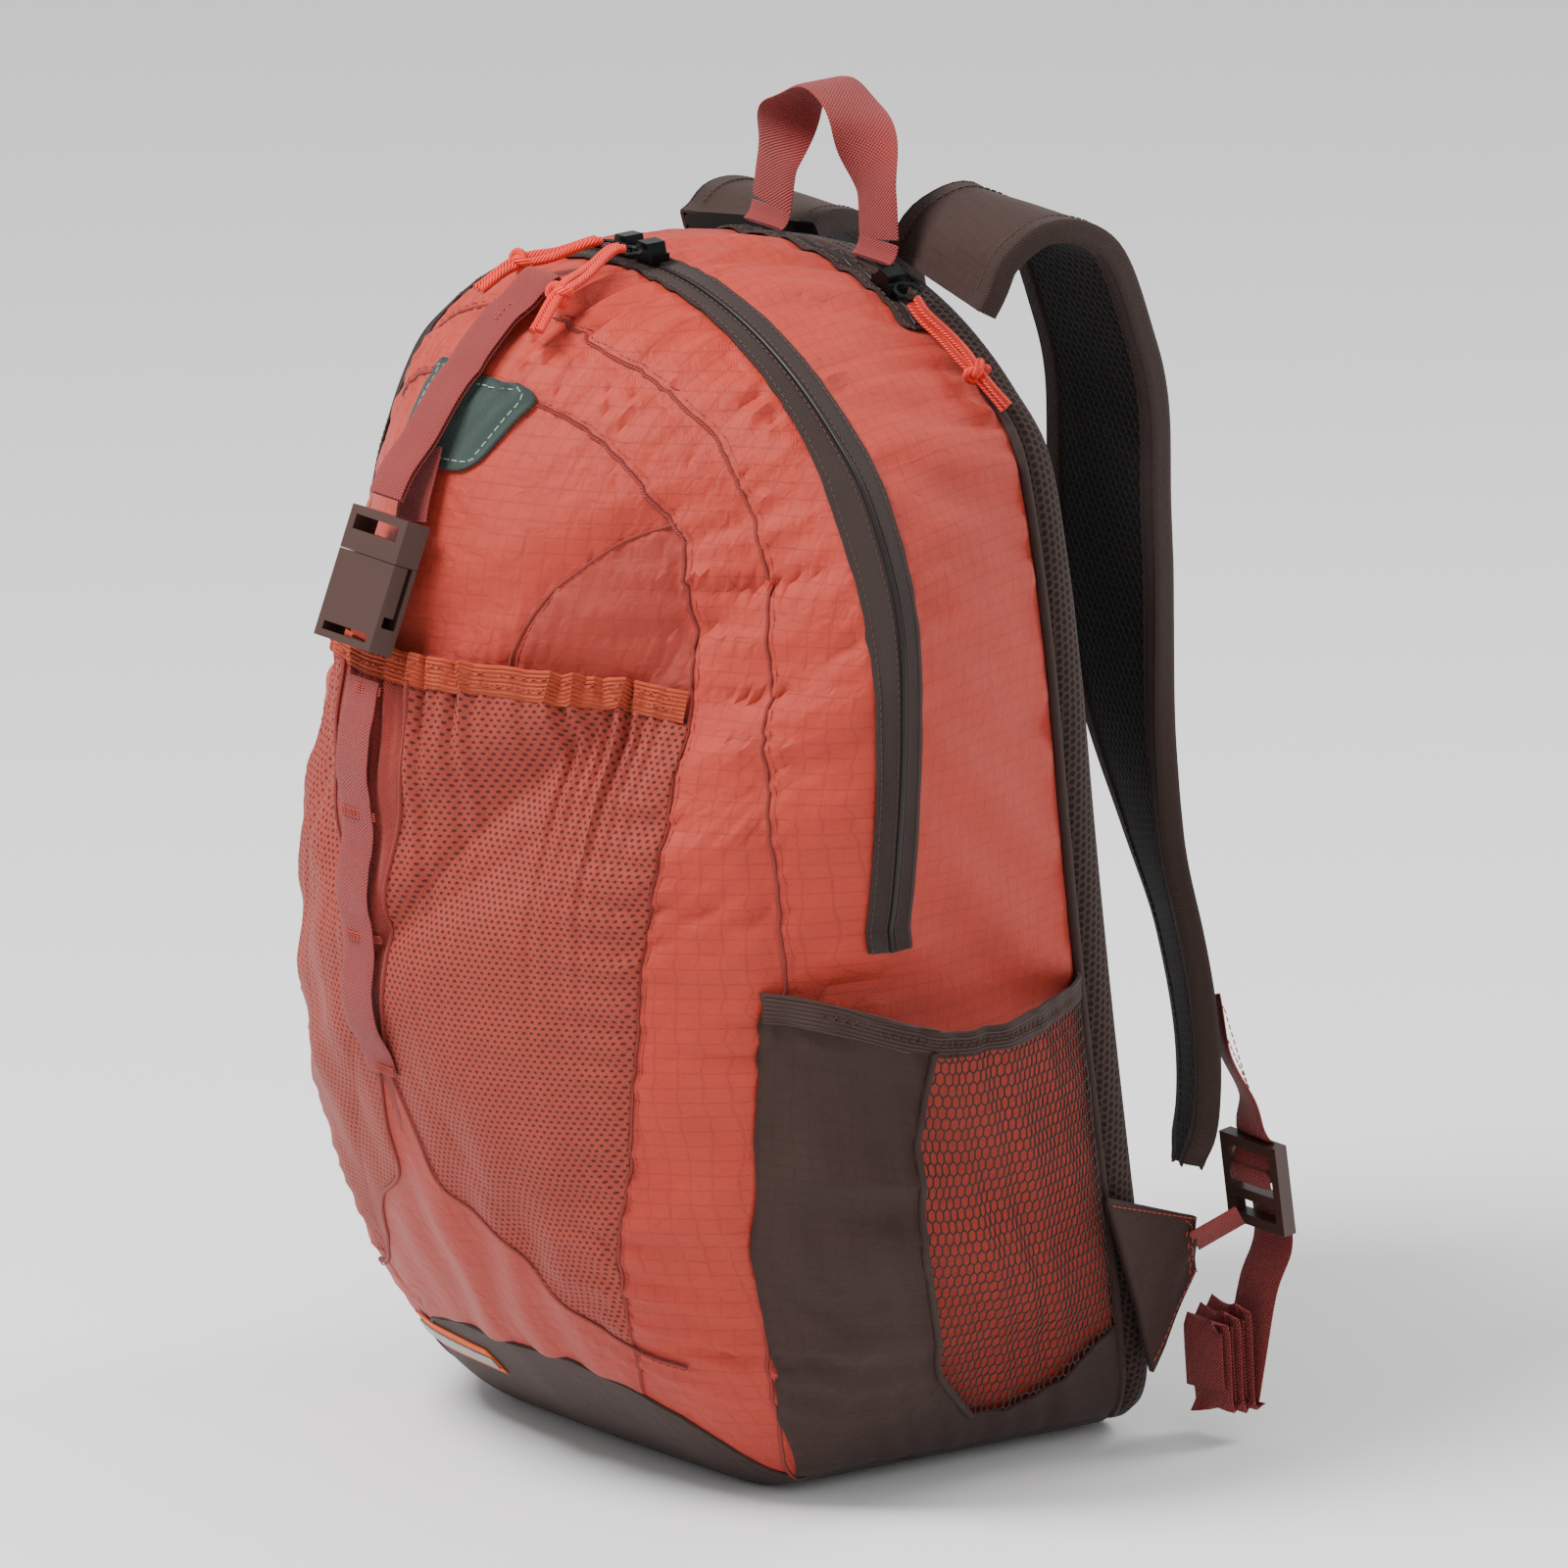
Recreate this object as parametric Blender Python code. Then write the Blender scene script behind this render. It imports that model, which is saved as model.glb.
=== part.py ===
"""A 30 litre hiking daypack, packed full and standing upright on its base.

The pack's front faces -Y, the wearer's back is at +Y and +X is the wearer's right.
The origin is on the flat underside of the base. Everything is in metres.
"""

import math

import bmesh
import bpy
import numpy as np
from mathutils import Matrix, Vector
from mathutils.bvhtree import BVHTree

# Gaps that touching pieces keep.
GAP = 0.0003
LIFT = 0.0016
SIDE_LIFT = 0.0022
POCKET_LIFT = 0.0026

# The main zip's arch: the plane it lies in, and the circle of its top.
ZIP_Y = -0.080
ZIP_RADIUS = 0.190
ZIP_CENTRE_Z = 0.2995
ARCH_TOP_Z = ZIP_CENTRE_Z + ZIP_RADIUS
ZIP_TAPE = 0.022
ZIP_END_Z = 0.240

# The seam round the back panel, whose top is an arc too.
BACK_RADIUS = 0.165
BACK_CENTRE_Z = 0.317
BACK_TOP_Y = 0.012
BACK_BEND_Z = 0.416
BACK_LEAN = 0.00387
BACK_LEAN_POWER = 1.6
PAD = 0.022

# The stuffed front, which bulges from the zip's plane.
FRONT_DEPTH = 0.134
FRONT_Z = 0.224
RIDGE = 0.02
SIDE_BULGE = 0.005
CLOTH = 0.003

# The base, whose upstand ends at the seam.
BASE_SEAM_Z = 0.038
BASE_HALF_WIDTH = 0.100

# The stretch pocket on the front.
POCKET_TOP_Z = 0.348
POCKET_BOTTOM_Z = 0.062
POCKET_CLOTH = 0.0016
POCKET_SLACK = 0.0050
FRONT_BINDING = 0.013
BINDING_THICK = 0.0024

# The two side pockets.
SIDE_MOUTH_Z = 0.208
SIDE_MOUTH_RISE = 0.018
SIDE_FRONT_Y = -0.125
SIDE_BOTTOM_Z = 0.016
SIDE_POCKET_BULGE = 0.027
SIDE_BINDING = 0.012

# Webbing.
STRAP_WIDTH = 0.020
HAUL_WIDTH = 0.025
WEBBING = 0.0016
HAUL_HALF_SPAN = 0.035
HAUL_ROOT_Z = 0.4915
HAUL_STATIONS = 61
HAUL_TOP_Z = 0.549

# The padded shoulder straps.
STRAP_THICK = 0.011
STRAP_TOP_WIDTH = 0.070
STRAP_END_WIDTH = 0.030

# The side-release buckle.
BUCKLE_WIDTH = 0.036
BUCKLE_THICK = 0.012
SOCKET_LENGTH = 0.036
SOCKET_WALL = 0.0025
PLUG_LENGTH = 0.018
PRONG_LENGTH = 0.021
BLADE_WIDTH = 0.009
BLADE_THICK = 0.0056
FRONT_STRAP_SPAN_Z = (0.401, ARCH_TOP_Z - 0.006)
FRONT_TAIL_SPAN_Z = (ARCH_TOP_Z - 0.0855, ARCH_TOP_Z - 0.0615)
PATCH_SPAN_Z = (ARCH_TOP_Z - 0.0655, ARCH_TOP_Z - 0.0335)
PATCH_HALF_WIDTHS = (0.022, 0.036)
PATCH_THICK = 0.0012
DAISY_BOTTOM_Z = 0.179
DAISY_GAP = 0.004
STRIP_SPAN_X = (-0.088, -0.030)
STRIP_SPAN_Z = (0.014, 0.025)
STRIP_THICK = 0.0008
PRONG_WIDTH = 0.0050

# The ladder locks at the straps' ends.
LOCK_WIDTH = 0.036
LOCK_LENGTH = 0.038
LOCK_THICK = 0.006
LOCK_RAIL = 0.0045

# The zip sliders, their rings and their pull cords.
SLIDER_LENGTH = 0.013
SLIDER_WIDTH = 0.009
SLIDER_THICK = 0.0035
RING_RADIUS = 0.0055
RING_WIRE = 0.0008
RING_REACH = 0.0062
CORD = 0.0075
KNOT = 0.012

AROUND = 44
BODY_MIDDLE = Vector((0, -0.060, 0.250))


def clear_scene():
    for obj in list(bpy.data.objects):
        bpy.data.objects.remove(obj, do_unlink=True)


def finish(name, colour, roughness, metallic=0.0):
    """A Principled material from an sRGB colour written as hex."""
    channels = [int(colour[i : i + 2], 16) / 255 for i in (0, 2, 4)]
    linear = [c / 12.92 if c <= 0.04045 else ((c + 0.055) / 1.055) ** 2.4 for c in channels]
    material = bpy.data.materials.new(name)
    material.use_nodes = True
    shader = material.node_tree.nodes["Principled BSDF"]
    shader.inputs["Base Color"].default_value = (*linear, 1)
    shader.inputs["Roughness"].default_value = roughness
    shader.inputs["Metallic"].default_value = metallic
    return material


def add_object(name, bm, material, pivot=(0, 0, 0), parent=None):
    """An object from a bmesh in world space, with its origin at the pivot."""
    bmesh.ops.recalc_face_normals(bm, faces=bm.faces)
    bmesh.ops.translate(bm, verts=bm.verts, vec=-Vector(pivot))
    mesh = bpy.data.meshes.new(name)
    bm.to_mesh(mesh)
    bm.free()
    mesh.shade_smooth()
    mesh.set_sharp_from_angle(angle=math.radians(40))
    mesh.materials.append(material)
    obj = bpy.data.objects.new(name, mesh)
    bpy.context.scene.collection.objects.link(obj)
    obj.location = Vector(pivot)
    if parent:
        obj.parent = parent
        obj.location = Vector(pivot) - parent.matrix_world.translation
    bpy.context.view_layer.update()
    return obj


def loft(rings, first=None, last=None):
    """A closed bmesh through rings of points; each end is a fan to a tip or one flat face."""
    bm = bmesh.new()
    rows = [[bm.verts.new(p) for p in ring] for ring in rings]
    count = len(rows[0])
    for row, after in zip(rows, rows[1:]):
        for i in range(count):
            j = (i + 1) % count
            bm.faces.new((row[i], row[j], after[j], after[i]))
    for row, tip in ((rows[0], first), (rows[-1], last)):
        if tip is None:
            bm.faces.new(row)
            continue
        middle = bm.verts.new(tip)
        for i in range(count):
            bm.faces.new((row[i], row[(i + 1) % count], middle))
    return bm


def sheet(outer, inner):
    """A closed bmesh between two grids of points of the same size."""
    bm = bmesh.new()
    grids = [[[bm.verts.new(p) for p in row] for row in grid] for grid in (outer, inner)]
    rows, columns = len(outer), len(outer[0])
    for grid in grids:
        for i in range(rows - 1):
            for j in range(columns - 1):
                bm.faces.new((grid[i][j], grid[i][j + 1], grid[i + 1][j + 1], grid[i + 1][j]))
    edge = [(i, 0) for i in range(rows)] + [(rows - 1, j) for j in range(1, columns)]
    edge += [(i, columns - 1) for i in range(rows - 2, -1, -1)]
    edge += [(0, j) for j in range(columns - 2, 0, -1)]
    for (a, b), (c, d) in zip(edge, edge[1:] + edge[:1]):
        bm.faces.new((grids[0][a][b], grids[0][c][d], grids[1][c][d], grids[1][a][b]))
    return bm


def spline(points, count):
    """Points evenly spread in index along a smooth curve through the given ones."""
    points = [Vector(p) for p in points]
    ends = [2 * points[0] - points[1]] + points + [2 * points[-1] - points[-2]]
    found = []
    for at in np.linspace(0, len(points) - 1, count):
        k = min(int(at), len(points) - 2)
        t = at - k
        a, b, c, d = ends[k : k + 4]
        found.append(
            0.5 * (2 * b + (c - a) * t + (2 * a - 5 * b + 4 * c - d) * t**2)
            + 0.5 * (3 * b - a - 3 * c + d) * t**3
        )
    return found


def smooth(low, high, value):
    t = min(1.0, max(0.0, (value - low) / (high - low)))
    return t * t * (3 - 2 * t)


def lerp(value, places, sizes):
    """A size read between named places."""
    return float(np.interp(value, places, sizes))


# --- The body's form ---------------------------------------------------------


def back_y(z):
    """How far back the seam round the back panel is at a height."""
    return BACK_TOP_Y + BACK_LEAN * (1000 * max(0.0, BACK_BEND_Z - z)) ** BACK_LEAN_POWER / 1000


def arc(radius, centre_z, degrees):
    return [
        (radius * math.sin(math.radians(a)), 0, centre_z + radius * math.cos(math.radians(a)))
        for a in degrees
    ]


def outline(right_side):
    """A closed ring of points from its right half, which runs from the bottom to the top."""
    half = spline(right_side, AROUND // 2 + 1)
    mirrored = [Vector((-p.x, p.y, p.z)) for p in reversed(half[1:-1])]
    return half + mirrored


def zip_outline():
    side = [(0, 0, 0), (0.050, 0, 0), (0.088, 0, 0.002), (0.114, 0, 0.016)]
    side += [(0.132, 0, 0.052), (0.144, 0, 0.115), (0.152, 0, 0.195), (0.164, 0, 0.270)]
    side += [(0.169, 0, 0.330), (0.166, 0, 0.378)]
    return outline(side + arc(ZIP_RADIUS, ZIP_CENTRE_Z, (50, 40, 30, 20, 10, 0)))


def back_outline():
    side = [(0, 0, 0), (0.060, 0, 0), (BASE_HALF_WIDTH, 0, 0.003), (0.122, 0, 0.020)]
    side += [(0.131, 0, 0.060), (0.136, 0, 0.120), (0.140, 0, 0.200), (0.142, 0, 0.270)]
    side += [(0.142, 0, 0.330), (0.137, 0, 0.382)]
    return outline(side + arc(BACK_RADIUS, BACK_CENTRE_Z, (50, 40, 30, 20, 10, 0)))


def front_power(point):
    """How square the front's profile is in the direction of a point of the zip's outline."""
    angle = math.degrees(math.atan2(abs(point.x), point.z - FRONT_Z))
    angles = (0, 12, 24, 36, 48, 62, 84, 110, 133, 155, 180)
    return lerp(angle, angles, (2.8, 2.15, 1.55, 1.15, 1.18, 1.41, 1.59, 1.72, 1.66, 1.4, 1.5))


def front_ring(share):
    """The ring of the front at a share of the way from its middle (0) to the zip (1)."""
    middle = Vector((0, 0, FRONT_Z))
    turn = share * math.pi / 2
    ring = []
    for point in zip_outline():
        power = 2 / front_power(point)
        reach = math.sin(turn) ** power
        rounded = math.sqrt(((reach + RIDGE) ** 2 - RIDGE**2) / ((1 + RIDGE) ** 2 - RIDGE**2))
        place = middle + (point - middle) * rounded
        place.z = max(0.0, place.z)
        place.y = ZIP_Y - FRONT_DEPTH * math.cos(turn) ** power
        ring.append(place)
    return ring


def rear_ring(share):
    """The ring at a share of the way from the zip (0) to the back panel's seam (1)."""
    ring = []
    for a, b in zip(zip_outline(), back_outline()):
        place = a.lerp(b, share)
        out = Vector((place.x, 0, place.z - BODY_MIDDLE.z)).normalized()
        bulge = SIDE_BULGE * math.sin(math.pi * share) * smooth(0.01, 0.08, place.z)
        place += out * bulge
        place.z = max(0.0, place.z)
        place.y = ZIP_Y + share * (back_y(place.z) - ZIP_Y)
        ring.append(place)
    return ring


def back_ring(share):
    """A ring on the back, scaled towards the back's middle."""
    middle = Vector((0, 0, BODY_MIDDLE.z))
    ring = [middle + (p - middle) * share for p in back_outline()]
    return [Vector((p.x, back_y(p.z), max(0.0, p.z))) for p in ring]


def body_mesh(inset=0.0):
    """The closed form of the packed body, shrunk by an inset along its normals."""
    rings = [front_ring(k / 9) for k in range(1, 10)]
    rings += [rear_ring(k / 4) for k in range(1, 5)]
    rings += [back_ring(share) for share in (0.7, 0.35)]
    front_tip = Vector((0, ZIP_Y - FRONT_DEPTH, FRONT_Z))
    back_tip = Vector((0, back_y(BODY_MIDDLE.z), BODY_MIDDLE.z))
    bm = loft(rings, front_tip, back_tip)
    bmesh.ops.recalc_face_normals(bm, faces=bm.faces)
    bm.normal_update()
    for vert in bm.verts:
        vert.co -= vert.normal * inset
    return bm


class Skin:
    """The body's outer surface, on which the pieces are laid."""

    def __init__(self):
        bm = body_mesh()
        self.tree = BVHTree.FromBMesh(bm)
        bm.free()

    def hit(self, start, towards, lift):
        place = self.tree.ray_cast(Vector(start), Vector(towards).normalized())[0]
        return place + (place - BODY_MIDDLE).normalized() * lift

    def front(self, x, z, lift):
        return self.hit((x, -1, z), (0, 1, 0), lift)

    def side(self, side, y, z, lift):
        """A point on a side, lifted straight out along X."""
        return self.hit((side, y, z), (-side, 0, 0), 0.0) + Vector((side * lift, 0, 0))

    def top(self, degrees, y, lift, centre_z=ZIP_CENTRE_Z):
        """A point of the arch at an angle from its top, lifted away from the arch's centre."""
        angle = math.radians(degrees)
        out = Vector((math.sin(angle), 0, math.cos(angle)))
        centre = Vector((0, y, centre_z))
        return self.hit(centre + out, -out, 0.0) + out * lift


def cutter(name, low, high):
    """A box that cuts other pieces and isn't a piece itself."""
    bm = bmesh.new()
    bmesh.ops.create_cube(bm, size=1)
    size = Vector(high) - Vector(low)
    bmesh.ops.scale(bm, verts=bm.verts, vec=size)
    bmesh.ops.translate(bm, verts=bm.verts, vec=(Vector(low) + Vector(high)) / 2)
    mesh = bpy.data.meshes.new(name)
    bm.to_mesh(mesh)
    bm.free()
    obj = bpy.data.objects.new(name, mesh)
    bpy.context.scene.collection.objects.link(obj)
    obj.hide_render = True
    obj.display_type = "WIRE"
    return obj


def boolean(obj, other, operation):
    modifier = obj.modifiers.new(other.name, "BOOLEAN")
    modifier.operation = operation
    modifier.solver = "EXACT"
    modifier.object = other


def make_body(looks):
    """The coral shells before and behind the main zip, and the brown base under both."""
    hollow = add_object("body_hollow", body_mesh(CLOTH), looks["lining"])
    hollow.hide_render = True
    hollow.display_type = "WIRE"
    rooms = {
        "rear_shell": ((-1, ZIP_Y + GAP / 2, BASE_SEAM_Z + GAP / 2), (1, 1, 1), "shell_cloth"),
        "front_shell": ((-1, -1, BASE_SEAM_Z + GAP / 2), (1, ZIP_Y - GAP / 2, 1), "shell_cloth"),
        "base_panel": ((-1, -1, -1), (1, 1, BASE_SEAM_Z - GAP / 2), "base_cloth"),
    }
    for name, (low, high, look) in rooms.items():
        shell = add_object(name, body_mesh(), looks[look])
        boolean(shell, hollow, "DIFFERENCE")
        boolean(shell, cutter("room_of_" + name, low, high), "INTERSECT")


def make_back_panel(looks):
    """The padded back panel: a slab that follows the back's lean, with a rounded rim."""
    profile = [(0.35, 0.0), (0.70, 0.0), (0.94, 0.0), (0.985, 0.14), (0.995, 0.5)]
    profile += [(0.975, 0.82), (0.92, 1.0), (0.70, 1.0), (0.35, 1.0)]
    rings = []
    for share, depth in profile:
        ring = back_ring(share)
        shift = GAP * 2 + depth * PAD
        rings.append([p + Vector((0, shift, 0)) for p in ring])
    middle = Vector((0, back_y(BODY_MIDDLE.z), BODY_MIDDLE.z))
    near, far = (middle + Vector((0, GAP * 2 + d * PAD, 0)) for d in (0, 1))
    add_object("back_panel", loft(rings, near, far), looks["spacer_mesh"])


# --- Pockets -------------------------------------------------------------------


def pocket_half_width(z):
    return lerp(z, (0.062, 0.100, 0.145, 0.197, 0.245, 0.320), (0.080, 0.094, 0.103, 0.110, 0.115, 0.118))


def pocket_lift(x, z):
    """How far the stretch pocket stands off the body: most in the middle of its mouth."""
    across = 1 - (x / pocket_half_width(z)) ** 2
    return POCKET_LIFT + POCKET_SLACK * max(0.0, across) * smooth(0.16, 0.33, z)


def front_band(skin, heights, lift, thickness, columns=13):
    """Two grids that follow the front pocket between two heights."""
    grids = []
    for extra in (lift + thickness, lift):
        grid = []
        for z in heights:
            half = pocket_half_width(z)
            xs = np.linspace(-half, half, columns)
            grid.append([skin.front(x, z, pocket_lift(x, z) + extra) for x in xs])
        grids.append(grid)
    return sheet(*grids)


def make_front_pocket(skin, looks):
    mouth = POCKET_TOP_Z - FRONT_BINDING
    heights = np.linspace(POCKET_BOTTOM_Z, mouth - GAP, 13)
    add_object("front_pocket", front_band(skin, heights, 0, POCKET_CLOTH), looks["stretch_mesh"])
    heights = np.linspace(mouth + GAP, POCKET_TOP_Z, 3)
    band = front_band(skin, heights, -0.0003, BINDING_THICK)
    add_object("front_pocket_binding", band, looks["elastic"])


def side_span(z):
    """Where a side pocket starts and ends along Y at a height."""
    front = lerp(z, (0.006, 0.040, 0.115, 0.228), (-0.078, -0.098, -0.122, SIDE_FRONT_Y))
    return front, back_y(z) - 0.006


def side_mouth(share):
    return SIDE_MOUTH_Z + SIDE_MOUTH_RISE * (1 - smooth(0.0, 0.45, share))


def side_lift(share, height):
    """How far a side pocket stands off the body, from its edges and its bottom."""
    across = math.sin(math.pi * min(1.0, max(0.0, share))) ** 0.8
    return SIDE_LIFT + SIDE_POCKET_BULGE * across * smooth(-0.05, 0.55, height)


def side_band(skin, side, low, high, lift, thickness, rows, columns=15):
    """Two grids that follow a side pocket between two shares of its height."""
    grids = []
    for extra in (lift + thickness, lift):
        grid = []
        for t in np.linspace(low, high, rows):
            row = []
            for share in np.linspace(0, 1, columns):
                z = SIDE_BOTTOM_Z + t * (side_mouth(share) - SIDE_BOTTOM_Z)
                start, end = side_span(z)
                y = start + share * (end - start)
                row.append(skin.side(side, y, z, side_lift(share, t) + extra))
            grid.append(row)
        grids.append(grid)
    return sheet(*grids)


def make_side_pockets(skin, looks):
    height = SIDE_MOUTH_Z - SIDE_BOTTOM_Z
    seam = 1 - SIDE_BINDING / height
    gap = GAP / height
    for side, word in ((1, "right"), (-1, "left")):
        band = side_band(skin, side, 0, seam - gap, 0, POCKET_CLOTH, 12)
        add_object("side_pocket_" + word, band, looks["open_net"])
        band = side_band(skin, side, seam + gap, 1, -0.0003, BINDING_THICK, 3)
        add_object("side_pocket_binding_" + word, band, looks["brown_elastic"])


# --- Ribbons: webbing, tapes and straps ------------------------------------------


def section(place, across, out, width, thickness, corner=0.3):
    """A rounded rectangle of eight points, its width along across and its thickness along out."""
    w, t = width / 2, thickness / 2
    c = min(corner * thickness, 0.4 * width)
    corners = [(-w, -t + c), (-w + c, -t), (w - c, -t), (w, -t + c)]
    corners += [(w, t - c), (w - c, t), (-w + c, t), (-w, t - c)]
    return [place + across * a + out * b for a, b in corners]


def ribbon(path, across_of, widths, thickness):
    """A closed ribbon along a path; across_of gives its width's direction at each station."""
    rings = []
    last = len(path) - 1
    for i, place in enumerate(path):
        along = (path[min(i + 1, last)] - path[max(i - 1, 0)]).normalized()
        across = across_of(i / last, place)
        across = (across - along * across.dot(along)).normalized()
        rings.append(section(place, across, along.cross(across), widths(i / last), thickness))
    return loft(rings)


def across_x(_share, _place):
    return Vector((1, 0, 0))


def flat_on_front(skin, x_range, z_range, lift, thickness, rows, columns=3):
    """A flat piece laid over the front between two heights."""
    grids = []
    for extra in (thickness, 0):
        grid = []
        for z in np.linspace(*z_range, rows):
            xs = np.linspace(*x_range(z), columns)
            grid.append([skin.front(x, z, lift(z) + extra) for x in xs])
        grids.append(grid)
    return sheet(*grids)


def make_front_trim(skin, looks):
    """The patch in the upper seam, the daisy chain and the strip on the base."""

    def patch_span(z):
        patch_half = lerp(z, PATCH_SPAN_Z, PATCH_HALF_WIDTHS)
        return -patch_half, patch_half

    patch = flat_on_front(skin, patch_span, PATCH_SPAN_Z, lambda z: LIFT, PATCH_THICK, 9, 17)
    add_object("lash_patch", patch, looks["patch"])
    half = STRAP_WIDTH / 2

    def over_pocket(z):
        return pocket_lift(0, z) + BINDING_THICK + LIFT

    daisy_top = POCKET_TOP_Z - FRONT_BINDING - DAISY_GAP
    daisy_span = (DAISY_BOTTOM_Z, daisy_top)
    daisy = flat_on_front(skin, lambda z: (-half, half), daisy_span, over_pocket, WEBBING, 16)
    add_object("daisy_chain", daisy, looks["webbing"])
    grids = []
    for extra in (STRIP_THICK, 0):
        grid = []
        for z in STRIP_SPAN_Z:
            row = [skin.front(x, z, SIDE_LIFT + extra) for x in np.linspace(*STRIP_SPAN_X, 9)]
            grid.append(row)
        grids.append(grid)
    add_object("reflective_strip", sheet(*grids), looks["reflective"])


def make_zip_tapes(skin, looks):
    """The two halves of the main zip's tape and the one of the rear zip."""
    ring = [p for p in zip_outline() if p.z > ZIP_END_Z]
    path = spline(ring, 41)
    half = ZIP_TAPE / 2
    for name, low, high in (
        ("main_zip_tape_front", ZIP_Y - half, ZIP_Y - GAP),
        ("main_zip_tape_rear", ZIP_Y + GAP, ZIP_Y + half),
    ):
        grids = []
        for extra in (0.0012, 0):
            grid = []
            for place in path:
                turn = math.degrees(math.atan2(place.x, place.z - ZIP_CENTRE_Z))
                grid.append([skin.top(turn, y, LIFT + extra) for y in (low, (low + high) / 2, high)])
            grids.append(grid)
        add_object(name, sheet(*grids), looks["zip_tape"])
    grids = []
    for extra in (0.0012, 0):
        grid = []
        for turn in np.linspace(-36, 28, 17):
            grid.append([skin.top(turn, y, LIFT + extra, BACK_CENTRE_Z) for y in (-0.007, 0.0, 0.007)])
        grids.append(grid)
    add_object("rear_zip_tape", sheet(*grids), looks["zip_tape"])


def turned(pivot, degrees):
    """A turn about the Y axis through a point, positive from +Z towards +X."""
    pivot = Vector(pivot)
    spin = Matrix.Rotation(math.radians(degrees), 4, "Y")
    return Matrix.Translation(pivot) @ spin @ Matrix.Translation(-pivot)


def box(bm, low, high):
    """Adds a box to a bmesh and returns its vertices."""
    made = bmesh.ops.create_cube(bm, size=1)["verts"]
    size = Vector(high) - Vector(low)
    bmesh.ops.scale(bm, verts=made, vec=size)
    bmesh.ops.translate(bm, verts=made, vec=(Vector(low) + Vector(high)) / 2)
    return made


def slider_mesh(place, matrix):
    """A slider at the arch's top, turned to its place: a flat block under an arched bridge."""
    x, y, z = place
    half, wide = SLIDER_LENGTH / 2, SLIDER_WIDTH / 2
    top = z + SLIDER_THICK
    outline_xz = [(-half, z), (half, z), (half, top), (0.0045, top), (0.0032, top + 0.0042)]
    outline_xz += [(-0.0032, top + 0.0042), (-0.0045, top), (-half, top)]
    bm = loft(
        [
            [Vector((x + a, y - wide, b)) for a, b in outline_xz],
            [Vector((x + a, y + wide, b)) for a, b in outline_xz],
        ]
    )
    bmesh.ops.transform(bm, matrix=matrix, verts=bm.verts)
    return bm


def make_puller(word, slider, place, ring_way, route, looks, matrix):
    """The wire ring beside a slider's bridge, the doubled cord on it and its knot."""
    pivot = matrix @ Vector(place)
    ring_middle = matrix @ (Vector(place) + Vector(ring_way) * (RING_RADIUS + RING_REACH))
    bm = bmesh.new()
    turns, sides = 18, 6
    rings = []
    for i in range(turns):
        a = 2 * math.pi * i / turns
        out = Vector((math.cos(a), math.sin(a), 0))
        ring = []
        for j in range(sides):
            b = 2 * math.pi * j / sides
            reach = RING_RADIUS + RING_WIRE * math.cos(b)
            tube = out * reach + Vector((0, 0, RING_WIRE * math.sin(b)))
            ring.append(bm.verts.new(ring_middle + matrix.to_3x3() @ tube))
        rings.append(ring)
    for row, after in zip(rings, rings[1:] + rings[:1]):
        for j in range(sides):
            k = (j + 1) % sides
            bm.faces.new((row[j], row[k], after[k], after[j]))
    add_object("pull_ring_" + word, bm, looks["metal"], pivot, slider)
    route = [Vector(p) for p in route]
    knot_at = route[-2]
    upper = route[:-1]
    upper[-1] = knot_at + (upper[-2] - knot_at).normalized() * (KNOT / 2 + GAP)
    cord_curve("pull_cord_" + word, spline(upper, 10), looks["cord"], pivot, slider)
    bm = bmesh.new()
    bmesh.ops.create_icosphere(bm, subdivisions=2, radius=KNOT / 2)
    bmesh.ops.translate(bm, verts=bm.verts, vec=knot_at)
    add_object("pull_knot_" + word, bm, looks["cord"], pivot, slider)
    tail = route[-1]
    start = knot_at + (tail - knot_at).normalized() * (KNOT / 2 + GAP)
    loose = spline([start, start.lerp(tail, 0.5), tail], 4)
    cord_curve("pull_tail_" + word, loose, looks["cord"], pivot, slider)


def cord_curve(name, points, material, pivot, parent):
    """A cord as a tube along a poly spline."""
    curve = bpy.data.curves.new(name, "CURVE")
    curve.dimensions = "3D"
    curve.bevel_depth = CORD / 2
    curve.bevel_resolution = 2
    curve.use_fill_caps = True
    line = curve.splines.new("POLY")
    line.points.add(len(points) - 1)
    for point, place in zip(line.points, points):
        point.co = (*(place - Vector(pivot)), 1)
    curve.materials.append(material)
    obj = bpy.data.objects.new(name, curve)
    bpy.context.scene.collection.objects.link(obj)
    obj.parent = parent
    obj.location = Vector(pivot) - parent.matrix_world.translation
    return obj


# Each puller's cord from its ring: the last place but one is the knot, the last the tail's end.
PULL_ROUTES = {
    "right": (
        (0.0080, -0.1015, ARCH_TOP_Z + 0.0095),
        (0.0130, -0.1170, ARCH_TOP_Z + 0.0060),
        (0.0190, -0.1350, ARCH_TOP_Z),
        (0.0250, -0.1520, ARCH_TOP_Z - 0.0105),
    ),
    "left": (
        (-0.0080, -0.1010, ARCH_TOP_Z + 0.0095),
        (-0.0140, -0.1100, ARCH_TOP_Z + 0.0070),
        (-0.0210, -0.1240, ARCH_TOP_Z + 0.0030),
        (-0.0230, -0.1440, ARCH_TOP_Z - 0.0045),
    ),
    "rear": (
        (0.0825, 0.0000, 0.4715),
        (0.0950, 0.0015, 0.4645),
        (0.1112, 0.0040, 0.4545),
        (0.1222, 0.0095, 0.4405),
    ),
}
REAR_SLIDER_DEG = 20.0


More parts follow.
